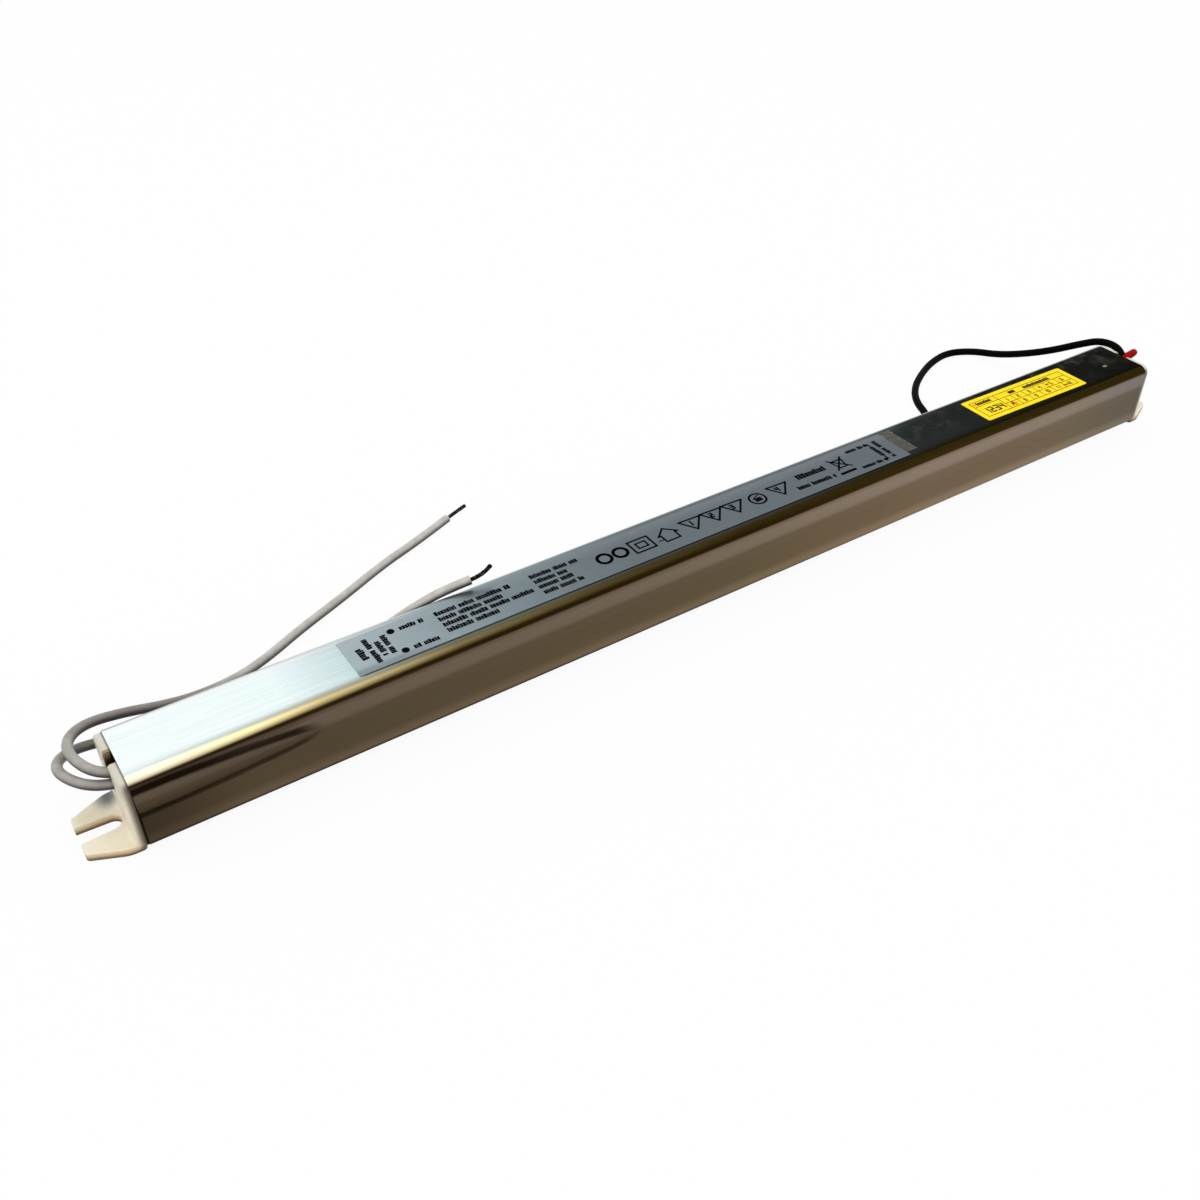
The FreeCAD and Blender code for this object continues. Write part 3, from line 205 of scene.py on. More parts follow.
# Fuse: a white ceramic tube with a pressed metal cap on each end.
# Its leads, welded to the caps, hold it a little off the board.

ceramic = Finish("fuse_ceramic", Roughness=0.35)
x, y, z = ceramic.place()
low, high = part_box("fuse")
capped = abs(x - (low[0] + high[0]) * 500).between(2.4, 2.6)
glaze = ceramic.blend(ceramic.grain(900), paint(226, 222, 212), paint(238, 235, 226))
ceramic.feed(Base_Color=ceramic.blend(capped, glaze, paint(196, 194, 188)), Metallic=capped)
dress(ceramic, "fuse")


# Discs on edge: the thermistor, the varistor and the suppressor capacitor stand on their leads.
# Each is pressed from oxide powder and dipped in lacquer, which gathers a little darker at the foot.

for name, nodes, deep, light in (
    ("dark_lacquer", ["thermistor"], (30, 34, 32), (44, 50, 46)),
    ("blue_lacquer", ["varistor", "suppressor_capacitor"], (26, 66, 140), (42, 88, 166)),
):
    lacquer = Finish(name, Roughness=0.28)
    x, y, z = lacquer.place()
    runs = lacquer.grain(700, (1, 1, 0.4))
    lacquer.feed(Base_Color=lacquer.blend(z.between(15, 8) * 0.6 + runs * 0.4, paint(*light), paint(*deep)))
    lacquer.relief(runs, 0.25)
    dress(lacquer, *nodes)


# Line capacitor: a moulded box of orange thermoplastic, with a wound film set in resin inside.
# It stands flat on the board, on two leads.

orange = Finish("capacitor_box", Roughness=0.4)
mould = orange.grain(1800)
orange.feed(Base_Color=orange.blend(mould, paint(214, 164, 60), paint(232, 184, 78)))
orange.relief(mould, 0.12)
dress(orange, "line_capacitor")


# Ferrite: the choke's ring, the transformer's two halves and the output inductor.
# The powder is pressed and fired hard, and the faces are ground.

ferrite = Finish("fired_ferrite", Roughness=0.55)
pores = ferrite.grain(3200, detail=6.0)
ferrite.feed(Base_Color=ferrite.blend(pores, paint(48, 49, 52), paint(70, 71, 74)))
ferrite.relief(pores, 0.3)
dress(ferrite, "choke_core", "transformer_core_input", "transformer_core_output", "output_inductor")


# Choke windings: enamelled copper wire, wound turn beside turn round the ring.
# The two windings lie apart on it, one for each supply wire.

copper = Finish("enamelled_copper", Metallic=0.8, Roughness=0.3)
x, y, z = copper.place()
turns = ((x + z) * 12.0).sine().between(-1, 1)
copper.feed(Base_Color=copper.blend(turns, paint(120, 58, 24), paint(206, 116, 58)))
copper.relief(turns, 0.6)
dress(copper, "choke_winding_live", "choke_winding_neutral")


# Cans: aluminium capacitors that lie on the board on bent leads.
# A dark plastic sleeve is shrunk over each, with a pale stripe down the negative side.

sleeve = Finish("dark_sleeve", Roughness=0.3)
x, y, z = sleeve.place()
stripe = abs(z - 11.5).between(1.3, 1.1) * y.between(0, 0.5)
shrunk = sleeve.grain(500, (0.5, 1, 1))
wrap = sleeve.blend(shrunk, paint(28, 36, 58), paint(40, 50, 76))
sleeve.feed(Base_Color=sleeve.blend(stripe, wrap, paint(190, 192, 190)))
sleeve.relief(shrunk, 0.1)
dress(sleeve, "reservoir_capacitor_1", "reservoir_capacitor_2", "startup_capacitor",
      "output_capacitor_1", "output_capacitor_2")


# Packages and the transformer's bobbin: black epoxy and nylon mouldings.
# Their legs, below or beside the body, are soldered into the board.

moulded = Finish("black_moulding", Roughness=0.55)
matt = moulded.grain(2400, detail=5.0)
moulded.feed(Base_Color=moulded.blend(matt, paint(36, 36, 38), paint(52, 52, 54)))
moulded.relief(matt, 0.2)
dress(moulded, "bridge_rectifier", "transformer_bobbin", "optocoupler", "switching_transistor",
      "output_rectifier", "controller_chip")


# Transformer winding: layers of wire on the bobbin, wrapped in yellow polyester tape.
# The tape's edges show as faint steps.

taped = Finish("yellow_tape", Roughness=0.35)
x, y, z = taped.place()
laps = (x * 2.4 + z * 0.3).sine().between(0.7, 0.9)
taped.feed(Base_Color=taped.blend(laps, paint(226, 190, 54), paint(198, 160, 36)))
taped.relief(laps, 0.3)
dress(taped, "transformer_winding")


# Thermal pads: grey silicone rubber with a mineral filler, cut from sheet.
# Each is pressed between a flat power package and the tube's floor.

rubber = Finish("thermal_rubber", Roughness=0.75)
filler = rubber.grain(3000)
rubber.feed(Base_Color=rubber.blend(filler, paint(160, 168, 176), paint(178, 186, 192)))
rubber.relief(filler, 0.2)
dress(rubber, "thermal_pad_mains", "thermal_pad_output")


# Small resistors: glazed black films on white ceramic with tinned ends.
# They are soldered flat under the board.

chips = Finish("chip_resistors", Roughness=0.3)
x, y, z = chips.place()
glaze = chips.blend(chips.grain(4000), paint(26, 26, 28), paint(40, 40, 42))
chips.feed(Base_Color=chips.blend(z.between(3.95, 3.85), paint(214, 212, 204), glaze))
dress(chips, "control_resistors", "feedback_resistors")


# Housing: one square aluminium extrusion with guide ribs inside, brushed along its length, sawn off by hand.
# The bare metal's colour carries painted reflections: pale and bright at the input end, dark at the other,
# with a painted straw-coloured highlight along the near edge. A splash has dried on the near side by the
# input cap, with a dark rim.

low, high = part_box("housing")
LENGTH = (high[0] - low[0]) * 1000
TUBE = high[2] * 1000
CORNER = 2.4

metal = Finish("bare_aluminium", Metallic=1.0, Specular_Tint=(0.53, 0.53, 0.52, 1.0))
x, y, z = metal.place()
along = x / LENGTH + 0.5


def lengthwise(*stops):
    """Painted reflection along the tube, as (x in mm, red, green, blue)."""
    return along.ramp(*[(at / LENGTH + 0.5, paint(*colour)) for at, *colour in stops])


# Painted reflections as ramps along the tube: lid strips, bright far rim, near-edge highlight and dark band,
# side.
lid_near = lengthwise((-140, 220, 229, 218), (-105, 171, 166, 142), (-75, 106, 104, 80), (-30, 66, 60, 42),
                      (60, 34, 28, 9), (140, 8, 5, 2))
lid_middle = lengthwise((-140, 246, 255, 255), (-112, 242, 255, 255), (-97, 208, 228, 230),
                        (-88, 150, 162, 166), (-40, 106, 114, 118), (60, 41, 46, 46), (142, 9, 8, 5))
lid_far = lengthwise((-112, 250, 255, 255), (-75, 158, 176, 180), (-20, 112, 123, 127), (48, 108, 118, 124),
                     (64, 50, 55, 58), (80, 44, 48, 47), (96, 22, 24, 16), (142, 24, 27, 25))
far_rim_reflection = lengthwise((-140, 196, 200, 204), (-112, 226, 230, 232), (-90, 252, 255, 255),
                      (-60, 226, 238, 240), (0, 190, 197, 200), (62, 204, 210, 211),
                      (100, 240, 244, 242), (142, 244, 246, 246))
edge_highlight = lengthwise((-140, 248, 238, 204), (-120, 236, 220, 162), (-105, 188, 170, 120),
                        (-75, 116, 101, 64), (-45, 80, 68, 36), (0, 54, 42, 14), (142, 48, 38, 10))
edge_dark_reflection = lengthwise((-118, 48, 34, 15), (-60, 42, 30, 8), (0, 42, 30, 8), (62, 57, 44, 16),
                        (142, 50, 38, 10))
side = lengthwise((-105, 106, 92, 78), (0, 130, 115, 96), (60, 150, 132, 115), (110, 152, 136, 120),
                  (142, 136, 129, 123))
# Painted shade and reflection up the side, as bands by height.
shade_up_the_side = (z / TUBE).ramp((0.0, 1.0), (0.15, paint(250, 246, 228)), (0.27, paint(210, 206, 188)),
                              (0.5, paint(208, 204, 186)), (0.665, paint(213, 209, 198)),
                              (0.715, paint(248, 246, 244)), (0.76, 1.0), (0.86, 1.0),
                              (0.9, paint(232, 228, 224)))
lid = metal.blend(y.between(4.2, 6.6), metal.blend(y.between(-7.0, -4.8), lid_near, lid_middle), lid_far)
lid_part = z.between(17.88, 17.99) * y.between(7.4, 6.4) + z.between(17.78, 17.99) * y.between(6.3, 6.5)
# Painted shadow along the film's near edge.
label_edge_shadow = abs(y + 5.75).between(0.45, 0.15) * abs(x + 21).between(76, 74) * z.between(17.9, 17.98)
# The painted reflections and shade laid over one another on the bare metal.
skin = metal.layers(
    metal.blend(1.0, side, shade_up_the_side, "MULTIPLY"),
    ((z + x.between(70, 142) * 0.2).between(16.25, 16.8), edge_dark_reflection),
    ((z + x.between(-80, -160) * 0.35).between(17.15, 17.8), edge_highlight),
    (z.between(16.2, 17.0) * y.between(-1, 1), far_rim_reflection),
    (lid_part, lid),
    (label_edge_shadow * 0.75, (12, 9, 5)),
)

brushing = metal.grain(2600, (0.014, 1, 1), 4.0, 0.65)
fine = metal.grain(9000, (0.006, 1, 1), 2.0)
scratches = (brushing * 0.5 + fine * 0.5).ramp((0.36, 0.87), (0.62, 1.0))
skin = metal.blend(x.between(-150, -60) * 0.55 + 0.45, skin, scratches, "MULTIPLY")

smear = metal.grain(420, (0.25, 1, 1), 5.0, 0.7)
near_side = y.between(-8.3, -8.9)
upper_arm = z.between(11.8, 12.8)
half_height = x.between(-105.5, -143).root().root() * 3.1
off_middle = abs(z - 12.35)
rim = (abs(off_middle - half_height + (smear - 0.5) * 0.9) / (upper_arm * 0.5 + 0.95)).between(1.0, 0.3)
rim = rim * x.between(-105.5, -112) * (fine.between(0.35, 0.6) * 0.15 + 0.85)
rim = rim * (upper_arm * 0.25 + x.between(-120, -140) * 0.15 + 0.72)
inside = (half_height - off_middle).between(-0.2, 0.3) * x.between(-106, -108)
above = z.between(15.2, 15.5) * z.between(17.2, 16.9) * x.between(-106, -114) * y.between(-6.0, -7.5)
mist = metal.grain(150, detail=6.0, rough=0.7).between(0.46, 0.7) * x.between(52, 62)
mist = mist * z.between(17.6, 17.95) * y.between(-6.0, 3.0)
specks = metal.grain(3600, detail=3.0).between(0.66, 0.76) * x.between(88, 136) * z.between(17.0, 17.6)
from_fleck = ((x - 134.4) * (x - 134.4) + (y + 1.6) * (y + 1.6) * 2.5).root()
fleck = (from_fleck + smear * 1.6 - 0.8).between(0.95, 0.5) * z.between(17.9, 17.98)
skin = metal.layers(
    skin,
    (z.between(10.5, 8.8) * x.between(-118, -143) * 0.5, (20, 14, 8)),
    (inside * near_side * (z.between(12.0, 9.8) * 0.3 + 0.22), (34, 24, 13)),
    (above * 0.28, (28, 18, 8)),
    (rim * near_side, (24, 15, 6)),
    # Painted shade along the near bottom edge.
    (z.between(2.1, 1.4) * x.between(90, -60) * 0.9, (16, 7, 2)),
    # Painted shadow of the gap on the tube's end by the input cap.
    (x.between(-143.0, -143.2) * z.between(12.5, 8.0), (14, 6, 2)),
    (mist * 0.35, (96, 98, 94)),
    (specks * 0.4 + fleck * 0.8, (172, 164, 128)),
)
metal.feed(Base_Color=skin, Roughness=brushing.between(0.3, 0.7) * 0.14 + 0.26)
metal.relief(brushing, 0.12, 0.00004)
dress(metal, "housing")


# Shadow line: the tube's end is sawn a little out of square, which leaves a wedge open at the input cap.
# A thin dark ring fills the wedge between the end of the tube and the cap's plate: painted shadow in the gap.

SAWN = 0.5
INTO_TUBE, INTO_CAP = 0.1, 0.02
ARC_STEPS = 7
AROUND = ARC_STEPS * 4


def put_mesh(name, corners, faces, finish, smooth=False):
    """A mesh from corners in mm, riding on the tube."""
    mesh = bpy.data.meshes.new(name)
    mesh.from_pydata([(x / 1000, y / 1000, z / 1000) for x, y, z in corners], [], faces)
    mesh.materials.append(finish.material)
    for face in mesh.polygons:
        face.use_smooth = smooth and len(face.vertices) == 4
    piece = bpy.data.objects.new(name, mesh)
    bpy.context.scene.collection.objects.link(piece)
    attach(piece, "root")
    return piece


tube_end, flat = -LENGTH / 2, TUBE / 2 - CORNER
corners, faces = [], []
for inset in (0.12, 1.1):
    for at_tube in (0, 1):
        for quarter, (side_y, side_z) in enumerate(((1, 1), (-1, 1), (-1, -1), (1, -1))):
            for step in range(ARC_STEPS):
                turn = math.radians(quarter * 90 + step * 15)
                across = side_y * flat + (CORNER - inset) * math.cos(turn)
                up = TUBE / 2 + side_z * flat + (CORNER - inset) * math.sin(turn)
                sawn_end = tube_end + INTO_TUBE + SAWN * (1 - up / TUBE)
                corners.append((sawn_end if at_tube else tube_end - INTO_CAP, across, up))
cap_outer, tube_outer, cap_inner, tube_inner = range(0, AROUND * 4, AROUND)
walls = (cap_outer, tube_outer), (tube_outer, tube_inner), (tube_inner, cap_inner), (cap_inner, cap_outer)
for k in range(AROUND):
    m = (k + 1) % AROUND
    for a, b in walls:
        faces.append((a + k, a + m, b + m, b + k))
# The ring's dark colour is painted shadow in the gap.
gap_shade = Finish("gap_shadow", Roughness=0.9, Specular_IOR_Level=0.1)
gap_shade.feed(Base_Color=gap_shade.blend(gap_shade.grain(3000), paint(14, 7, 3), paint(34, 22, 12)))
put_mesh("gap_shadow_line", corners, faces, gap_shade)


# End caps: cream polypropylene, one moulding each with plug, plate, cable notch and slotted foot, pushed in.
# The feet turn golden towards their lower edges; painted shade lies along their bottoms, on the plates and in
# the notches.
# Each foot leaves its plate in a small moulded fillet, which is made here.

PLATE_FACE, FOOT_TOP = 145.2, 2.0
SUNK = 0.03
FILLET = ((2.15, 0.25), (2.7, 0.9), (3.6, 1.35), (5.9, 1.4), (7.0, 1.2), (7.8, 0.75), (8.35, 0.15))
ARC_POINTS = 9

cream = Finish("cream_moulding", Roughness=0.42, Specular_IOR_Level=0.35)
x, y, z = cream.place()
out = abs(x)
clouds = cream.grain(160, detail=3.0)
grit = cream.grain(900, detail=5.0)
notch_wall = abs(y).between(2.3, 2.05) * z.between(9.4, 9.75) * out.between(145.18, 144.9)
cream.feed(Base_Color=cream.layers(
    cream.blend(clouds.between(0.3, 0.7), paint(247, 240, 220), paint(236, 226, 198)),
    (z.between(1.96, 1.3) * 0.6 + grit.between(0.45, 0.75) * 0.1, (214, 178, 116)),
    # Painted shade along the very bottom of the feet.
    (z.between(1.3, 0.3) * 0.9, (98, 66, 36)),
    # Painted shade over the plates' upper part.
    (z.between(13.0, 16.5) * 0.55, (176, 176, 170)),
    # Painted shade along the plates' side edges by the metal.
    (out.between(145.2, 143.9) * abs(y).between(7.6, 8.6) * 0.9, (82, 68, 48)),
    # Painted shadow of the wires on the feet.
    (out.between(150.2, 146.6) * y.between(2.6, 6.6) * z.between(6.0, 2.0) * 0.9, (96, 100, 108)),
    # Painted shade on the notch walls.
    (notch_wall * 0.9, (150, 122, 74)),
    # Painted shade where the plates meet the metal, and deep in the notches.
    (out.between(144.0, 143.65) * 0.6 + notch_wall * z.between(17.9, 15.4) * 0.95, (18, 13, 9)),
))
cream.relief(cream.grain(1500, detail=2.0), 0.06)
dress(cream, "input_end_cap", "output_end_cap")

for name, end in (("input_foot_fillet", -1), ("output_foot_fillet", 1)):
    corners, faces = [], []
    for half in (-1, 1):
        first = len(corners)
        for across, radius in FILLET:
            for k in range(ARC_POINTS):
                turn = math.pi / 2 * k / (ARC_POINTS - 1)
                at = PLATE_FACE - SUNK + radius * (1 - math.sin(turn))
                up = FOOT_TOP - SUNK + radius * (1 - math.cos(turn))
                corners.append((end * at, half * across, up))
        for row in range(len(FILLET) - 1):
            for k in range(ARC_POINTS - 1):
                a = first + row * ARC_POINTS + k
                quad = (a, a + 1, a + ARC_POINTS + 1, a + ARC_POINTS)
                faces.append(quad if end * half > 0 else quad[::-1])
    put_mesh(name, corners, faces, cream, smooth=True)


# Printed film: silver polyester with an adhesive back, smoothed on along the top of the tube.
# Its print is plain marks in black ink: small bars in rows, rings, frames, an outline of a roof and numbers.

low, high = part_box("main_label")
LABEL_START, LABEL_LENGTH = low[0] * 1000, (high[0] - low[0]) * 1000
INK = 0.018
INK_HEIGHT = high[2] * 1000 + INK
UNBROKEN = (30, 30)

silver = Finish("silver_film", Metallic=1.0, Specular_Tint=(0.58, 0.58, 0.58, 1.0))
x, y, z = silver.place()
# Painted reflection on the film: lighter at the input end and on the far strip, darker on the near strip at
# the left.
shade = ((x - LABEL_START) / LABEL_LENGTH).ramp(
    (0.0, paint(172, 185, 190)), (0.14, paint(147, 162, 167)), (0.24, paint(130, 144, 149)),
    (0.34, paint(118, 130, 135)), (0.46, paint(110, 120, 125)), (1.0, paint(110, 118, 125)))
shade = silver.layers(
    shade,
    (y.between(2, 6) * 0.12, (196, 204, 210)),
    (y.between(-3.2, -4.8) * x.between(-74, -88) * 0.6, (118, 128, 134)),
)
satin = silver.grain(1500, (0.2, 1, 1), 3.0)
silver.feed(Base_Color=silver.blend(1.0, shade, satin.ramp((0.3, 0.93), (0.7, 1.0)), "MULTIPLY"))
silver.feed(Roughness=satin * 0.1 + 0.3)
dress(silver, "main_label")


def circle(u, v, radius, sides):
    turns = [math.tau * k / sides for k in range(sides)]
    return [(u + radius * math.cos(turn), v + radius * math.sin(turn)) for turn in turns]


class Print:
    """Flat marks on a film, gathered into one thin mesh; places in mm."""

    def __init__(self, height, middle=(0, 0), turn=0.0):
        self.height, self.middle, self.turn = height, middle, math.radians(turn)
        self.corners, self.faces = [], []

    def patch(self, *outline):
        first = len(self.corners)
        for u, v in outline:
            x = self.middle[0] + u * math.cos(self.turn) - v * math.sin(self.turn)
            y = self.middle[1] + u * math.sin(self.turn) + v * math.cos(self.turn)
            self.corners.append((x, y, self.height))
        self.faces.append(tuple(range(first, len(self.corners))))

    def bar(self, left, low, right, high):
        self.patch((left, low), (right, low), (right, high), (left, high))

    def line(self, start, end, width):
        (u, v), (p, q) = start, end
        long = math.hypot(p - u, q - v)
        a, b = (p - u) / long * width / 2, (q - v) / long * width / 2
        self.patch((u - a + b, v - b - a), (p + a + b, q + b - a),
                   (p + a - b, q + b + a), (u - a - b, v - b + a))

    def outline(self, corners, width):
        for start, end in zip(corners, corners[1:] + corners[:1]):
            self.line(start, end, width)

    def ring(self, u, v, radius, width):
        self.outline(circle(u, v, radius, 28), width)

    def dot(self, u, v, radius):
        self.patch(*circle(u, v, radius, 20))

    def words(self, start, end, height, seed, gaps=(6, 11)):
        """A row of small upright bars in groups, as far as print of this size can be told apart."""
        chance = random.Random(seed)
        (u, v), (p, q) = start, end
        long = math.hypot(p - u, q - v)
        a, b = (p - u) / long, (q - v) / long
        at, left = 0.0, chance.randint(*gaps)
        while at < long - 0.3:
            wide = chance.uniform(0.25, 0.5) * height
            tall = height * chance.choice((0.8, 0.84, 0.88, 1.0))
            near = (u + a * at, v + b * at)
            far = (u + a * (at + wide), v + b * (at + wide))
            self.patch(near, far, (far[0] - b * tall, far[1] + a * tall),
                       (near[0] - b * tall, near[1] + a * tall))
            at += wide + 0.055 * height
            left -= 1
            if left == 0:
                at += 0.45 * height
                left = chance.randint(*gaps)

    def number(self, u, v, text, tall, width):
        """Plain digits drawn with seven strokes each."""
        strokes = {"0": "abcdef", "1": "bc", "2": "abged", "3": "abgcd", "4": "fgbc",
                   "5": "afgcd", "6": "afgedc", "7": "abc", "8": "abcdefg", "9": "abcdfg"}
        spots = {"a": ((0, 2), (1, 2)), "b": ((1, 2), (1, 1)), "c": ((1, 1), (1, 0)), "d": ((0, 0), (1, 0)),
                 "e": ((0, 1), (0, 0)), "f": ((0, 2), (0, 1)), "g": ((0, 1), (1, 1))}
        wide = tall * 0.44
        for digit in text:
            for stroke in strokes[digit]:
                (a, b), (c, d) = spots[stroke]
                self.line((u + a * wide, v + b * tall / 2), (u + c * wide, v + d * tall / 2), width)
            u += wide + tall * 0.36

    def lay(self, name, finish, slot):
        put_mesh(name, self.corners, self.faces, finish)


marks = Print(INK_HEIGHT)
marks.words((-94.1, 2.1), (-93.9, -1.9), 1.5, 1, UNBROKEN)
marks.words((-91.8, 4.3), (-91.6, -4.4), 1.3, 2)
marks.words((-89.8, 2.3), (-89.8, -2.9), 1.3, 3)
marks.words((-88.0, 3.5), (-88.0, -3.0), 1.3, 4)
marks.dot(-85.3, 3.6, 0.85)
marks.dot(-85.3, -3.4, 0.85)
marks.words((-83.4, 2.9), (-77.9, 2.7), 1.35, 5, (2, 9))
marks.words((-83.4, -4.1), (-77.9, -4.2), 1.35, 6, (2, 9))
for row, (v, right) in enumerate(((2.8, -56.9), (0.75, -60.2), (-1.25, -53.4), (-3.3, -62.9))):
    marks.words((-75.2, v), (right, v - 0.15), 1.45, 7 + row)
for row, (v, right) in enumerate(((2.8, -39.5), (0.75, -43.9), (-1.25, -43.2), (-3.4, -42.0))):
    marks.words((-51.9, v), (right, v - 0.1), 1.4, 11 + row)
for middle in (-34.3, -30.0):
    marks.ring(middle, 0.2, 1.65, 0.75)
marks.outline([(-26.9, -2.2), (-21.6, -2.2), (-21.6, 2.3), (-26.9, 2.3)], 0.5)
marks.outline([(-25.5, -0.9), (-23.0, -0.9), (-23.0, 1.0), (-25.5, 1.0)], 0.45)
roof = [(-19.4, 0.2), (-16.8, 2.6), (-14.2, 0.2), (-14.9, 0.2), (-14.9, -2.2), (-18.7, -2.2), (-18.7, 0.2)]
marks.outline(roof, 0.48)
marks.line((-20.2, -1.2), (-18.7, -1.2), 0.3)
for n, left in enumerate((-12.3, -6.1, 0.1, 13.9)):
    marks.outline([(left, 2.3), (left + 5.9, 2.1), (left + 2.6, -2.0)], 0.52)
    marks.number(left + 1.9, -0.1, "%d" % (n + 1), 1.5, 0.45)
marks.ring(9.6, 0.1, 2.1, 0.5)
marks.bar(8.6, -1.0, 10.6, 0.5)
marks.line((8.6, 0.5), (10.6, 1.4), 0.3)
marks.words((23.2, 0.9), (32.0, 0.7), 2.0, 21, UNBROKEN)
marks.words((20.5, -2.7), (32.3, -3.1), 1.5, 22, (5, 9))
marks.outline([(34.9, 2.6), (38.2, 2.6), (37.6, -0.6), (35.5, -0.6)], 0.45)
marks.line((34.4, 3.5), (38.7, -1.2), 0.5)
marks.line((38.7, 3.5), (34.4, -1.2), 0.5)
marks.bar(33.6, -3.4, 38.6, -2.5)
marks.words((41.3, 3.5), (47.0, 3.3), 1.2, 23, (5, 9))
marks.words((40.2, -4.1), (46.6, -4.3), 1.2, 24, (5, 9))
for v, inner in ((3.9, 2.6), (-3.8, -2.2)):
    marks.dot(47.8, v, 0.6)
    marks.line((47.8, v), (48.6, v), 0.45)
    marks.line((48.6, v), (48.6, inner), 0.45)
marks.words((48.0, 2.4), (48.0, -2.0), 1.35, 25, UNBROKEN)
marks.words((50.2, 4.4), (50.2, -4.1), 1.25, 26, (5, 8))
ink = Finish("black_ink", Roughness=0.6, Specular_IOR_Level=0.01)
ink.feed(Base_Color=ink.blend(ink.grain(3000), paint(2, 3, 4), paint(10, 11, 14)))
marks.lay("label_print", ink, "silver_label")


# Clear tape: a short strip of adhesive polypropylene, stuck across the tube at the end of the printed film.
# It has gone cloudy, with dust caught along its edges.

TAPE_MIDDLE = 56.4

tape = Finish("cloudy_tape", Roughness=0.4, Specular_IOR_Level=0.2)
x, y, z = tape.place()
caught = tape.grain(900, detail=5.0, rough=0.7)
edges = abs(x - TAPE_MIDDLE).between(0.7, 1.7) * 0.5 + abs(y).between(3.6, 5.0) * 0.3
dusty = caught.between(0.5, 0.7) * (edges + 0.15)
tape.feed(Base_Color=tape.blend(dusty, paint(62, 63, 52), paint(150, 142, 116)))
tape.relief(caught, 0.2)
dress(tape, "clear_tape")


# Yellow sticker: a printed paper seal with an adhesive back, set on a little askew.
# It shows a frame, a grid of small numbers and one cell marked in red pen.

SEAL_MIDDLE, SEAL_TURN = (103.03, 0.0), -1.0
LEFT, RIGHT, LOW, HIGH = -17.4, 17.3, -3.7, 3.7
COLUMN_START, COLUMN = -8.6, 4.3
UPPER_LINE, LOWER_LINE = 1.5, -1.1
PEN = 0.006

paper = Finish("yellow_paper", Roughness=0.5, Specular_IOR_Level=0.12)
wrinkle = paper.grain(500, detail=3.0)
paper.feed(Base_Color=paper.blend(wrinkle.between(0.3, 0.7), paint(255, 228, 0), paint(250, 216, 4)))
paper.relief(wrinkle, 0.08)
dress(paper, "yellow_sticker")

seal = Print(INK_HEIGHT, SEAL_MIDDLE, SEAL_TURN)
seal.outline([(LEFT, LOW), (RIGHT, LOW), (RIGHT, HIGH), (LEFT, HIGH)], 0.2)
seal.line((LEFT, UPPER_LINE), (RIGHT, UPPER_LINE), 0.19)
seal.line((COLUMN_START, LOW), (COLUMN_START, HIGH), 0.19)
seal.line((COLUMN_START, LOWER_LINE), (RIGHT, LOWER_LINE), 0.19)
for column in range(1, 6):
    at = COLUMN_START + column * COLUMN
    seal.line((at, LOW), (at, UPPER_LINE), 0.17)
seal.words((-15.8, 2.0), (-10.4, 2.0), 1.35, 31, UNBROKEN)
seal.number(-16.2, -2.5, "1234", 2.3, 0.46)
seal.bar(-3.6, 2.0, -1.2, 3.2)
seal.words((2.0, 1.9), (12.6, 1.9), 1.35, 32, UNBROKEN)
for column in range(6):
    for row in range(2):
        number = "%d" % (column + 1 + row * 6)
        at = COLUMN_START + 1.6 + column * COLUMN - 0.35 * (len(number) - 1)
        seal.number(at, -0.45 - row * 2.6, number, 1.15, 0.27)
brown = Finish("seal_ink", Roughness=0.6, Specular_IOR_Level=0.05)
brown.feed(Base_Color=brown.blend(brown.grain(3500), paint(24, 18, 6), paint(58, 44, 10)))
seal.lay("seal_print", brown, "yellow_paper")

tick = Print(INK_HEIGHT + PEN, SEAL_MIDDLE, SEAL_TURN)
tick.line((-7.4, -3.0), (-6.5, -1.4), 0.4)
tick.line((-6.5, -1.4), (-5.6, -2.3), 0.35)
tick.line((-7.3, -1.9), (-5.9, -3.2), 0.35)
tick.line((-16.9, 2.9), (-16.2, 2.5), 0.3)
tick.words((8.5, 0.0), (9.6, -0.1), 0.8, 33, (9, 9))
tick.words((12.6, -2.9), (14.6, -3.0), 0.8, 34, (9, 9))
pen = Finish("red_pen", Roughness=0.6, Specular_IOR_Level=0.05)
pen.feed(Base_Color=pen.blend(pen.grain(3500), paint(214, 74, 10), paint(196, 46, 12)))
tick.lay("pen_mark", pen, "yellow_paper")


# Wires: stranded copper in soft PVC, 2.1 mm thick, soldered to the board and led out through the notches.
# The supply side is pale, the lamp side black and red. All four lie loose, and their ends are stripped
# and twisted.

WIRE = 2.1e-3
STRIPPED = 3.0
STRAND_SIDES = 7
LIVE_ROUTE = [
    (-124.0, 1.5, 7.25), (-130.5, 1.5, 7.25), (-136.2, 0.8, 10.7), (-141.8, -0.6, 13.1), (-147.4, 0.0, 15.2),
    (-150.2, 6.0, 15.8), (-149.5, 12.6, 14.6), (-145.0, 17.8, 12.4), (-137.2, 20.2, 9.4), (-129.4, 22.4, 5.5),
    (-121.4, 26.2, 1.3), (-112.2, 27.2, 1.1), (-104.0, 30.2, 1.1), (-94.8, 35.0, 1.1), (-81.6, 40.7, 1.1),
    (-67.4, 47.5, 1.1), (-56.0, 51.6, 1.1), (-45.4, 56.2, 1.1),
]
NEUTRAL_ROUTE = [
    (-124.0, -1.5, 7.25), (-130.5, -1.5, 7.25), (-136.8, -1.2, 9.0), (-142.8, -0.8, 11.0),
    (-149.0, -0.2, 12.7), (-152.8, 4.6, 13.5), (-152.8, 10.4, 12.0), (-149.0, 15.2, 9.5), (-141.8, 17.2, 6.7),
    (-133.6, 17.2, 3.6), (-125.4, 18.4, 1.3), (-116.6, 17.8, 1.1), (-107.4, 16.2, 1.5), (-98.8, 14.0, 4.4),
    (-91.0, 12.6, 8.5), (-83.2, 11.8, 12.7), (-75.2, 10.6, 16.3), (-69.4, 9.2, 18.6), (-64.0, 7.7, 20.0),
]
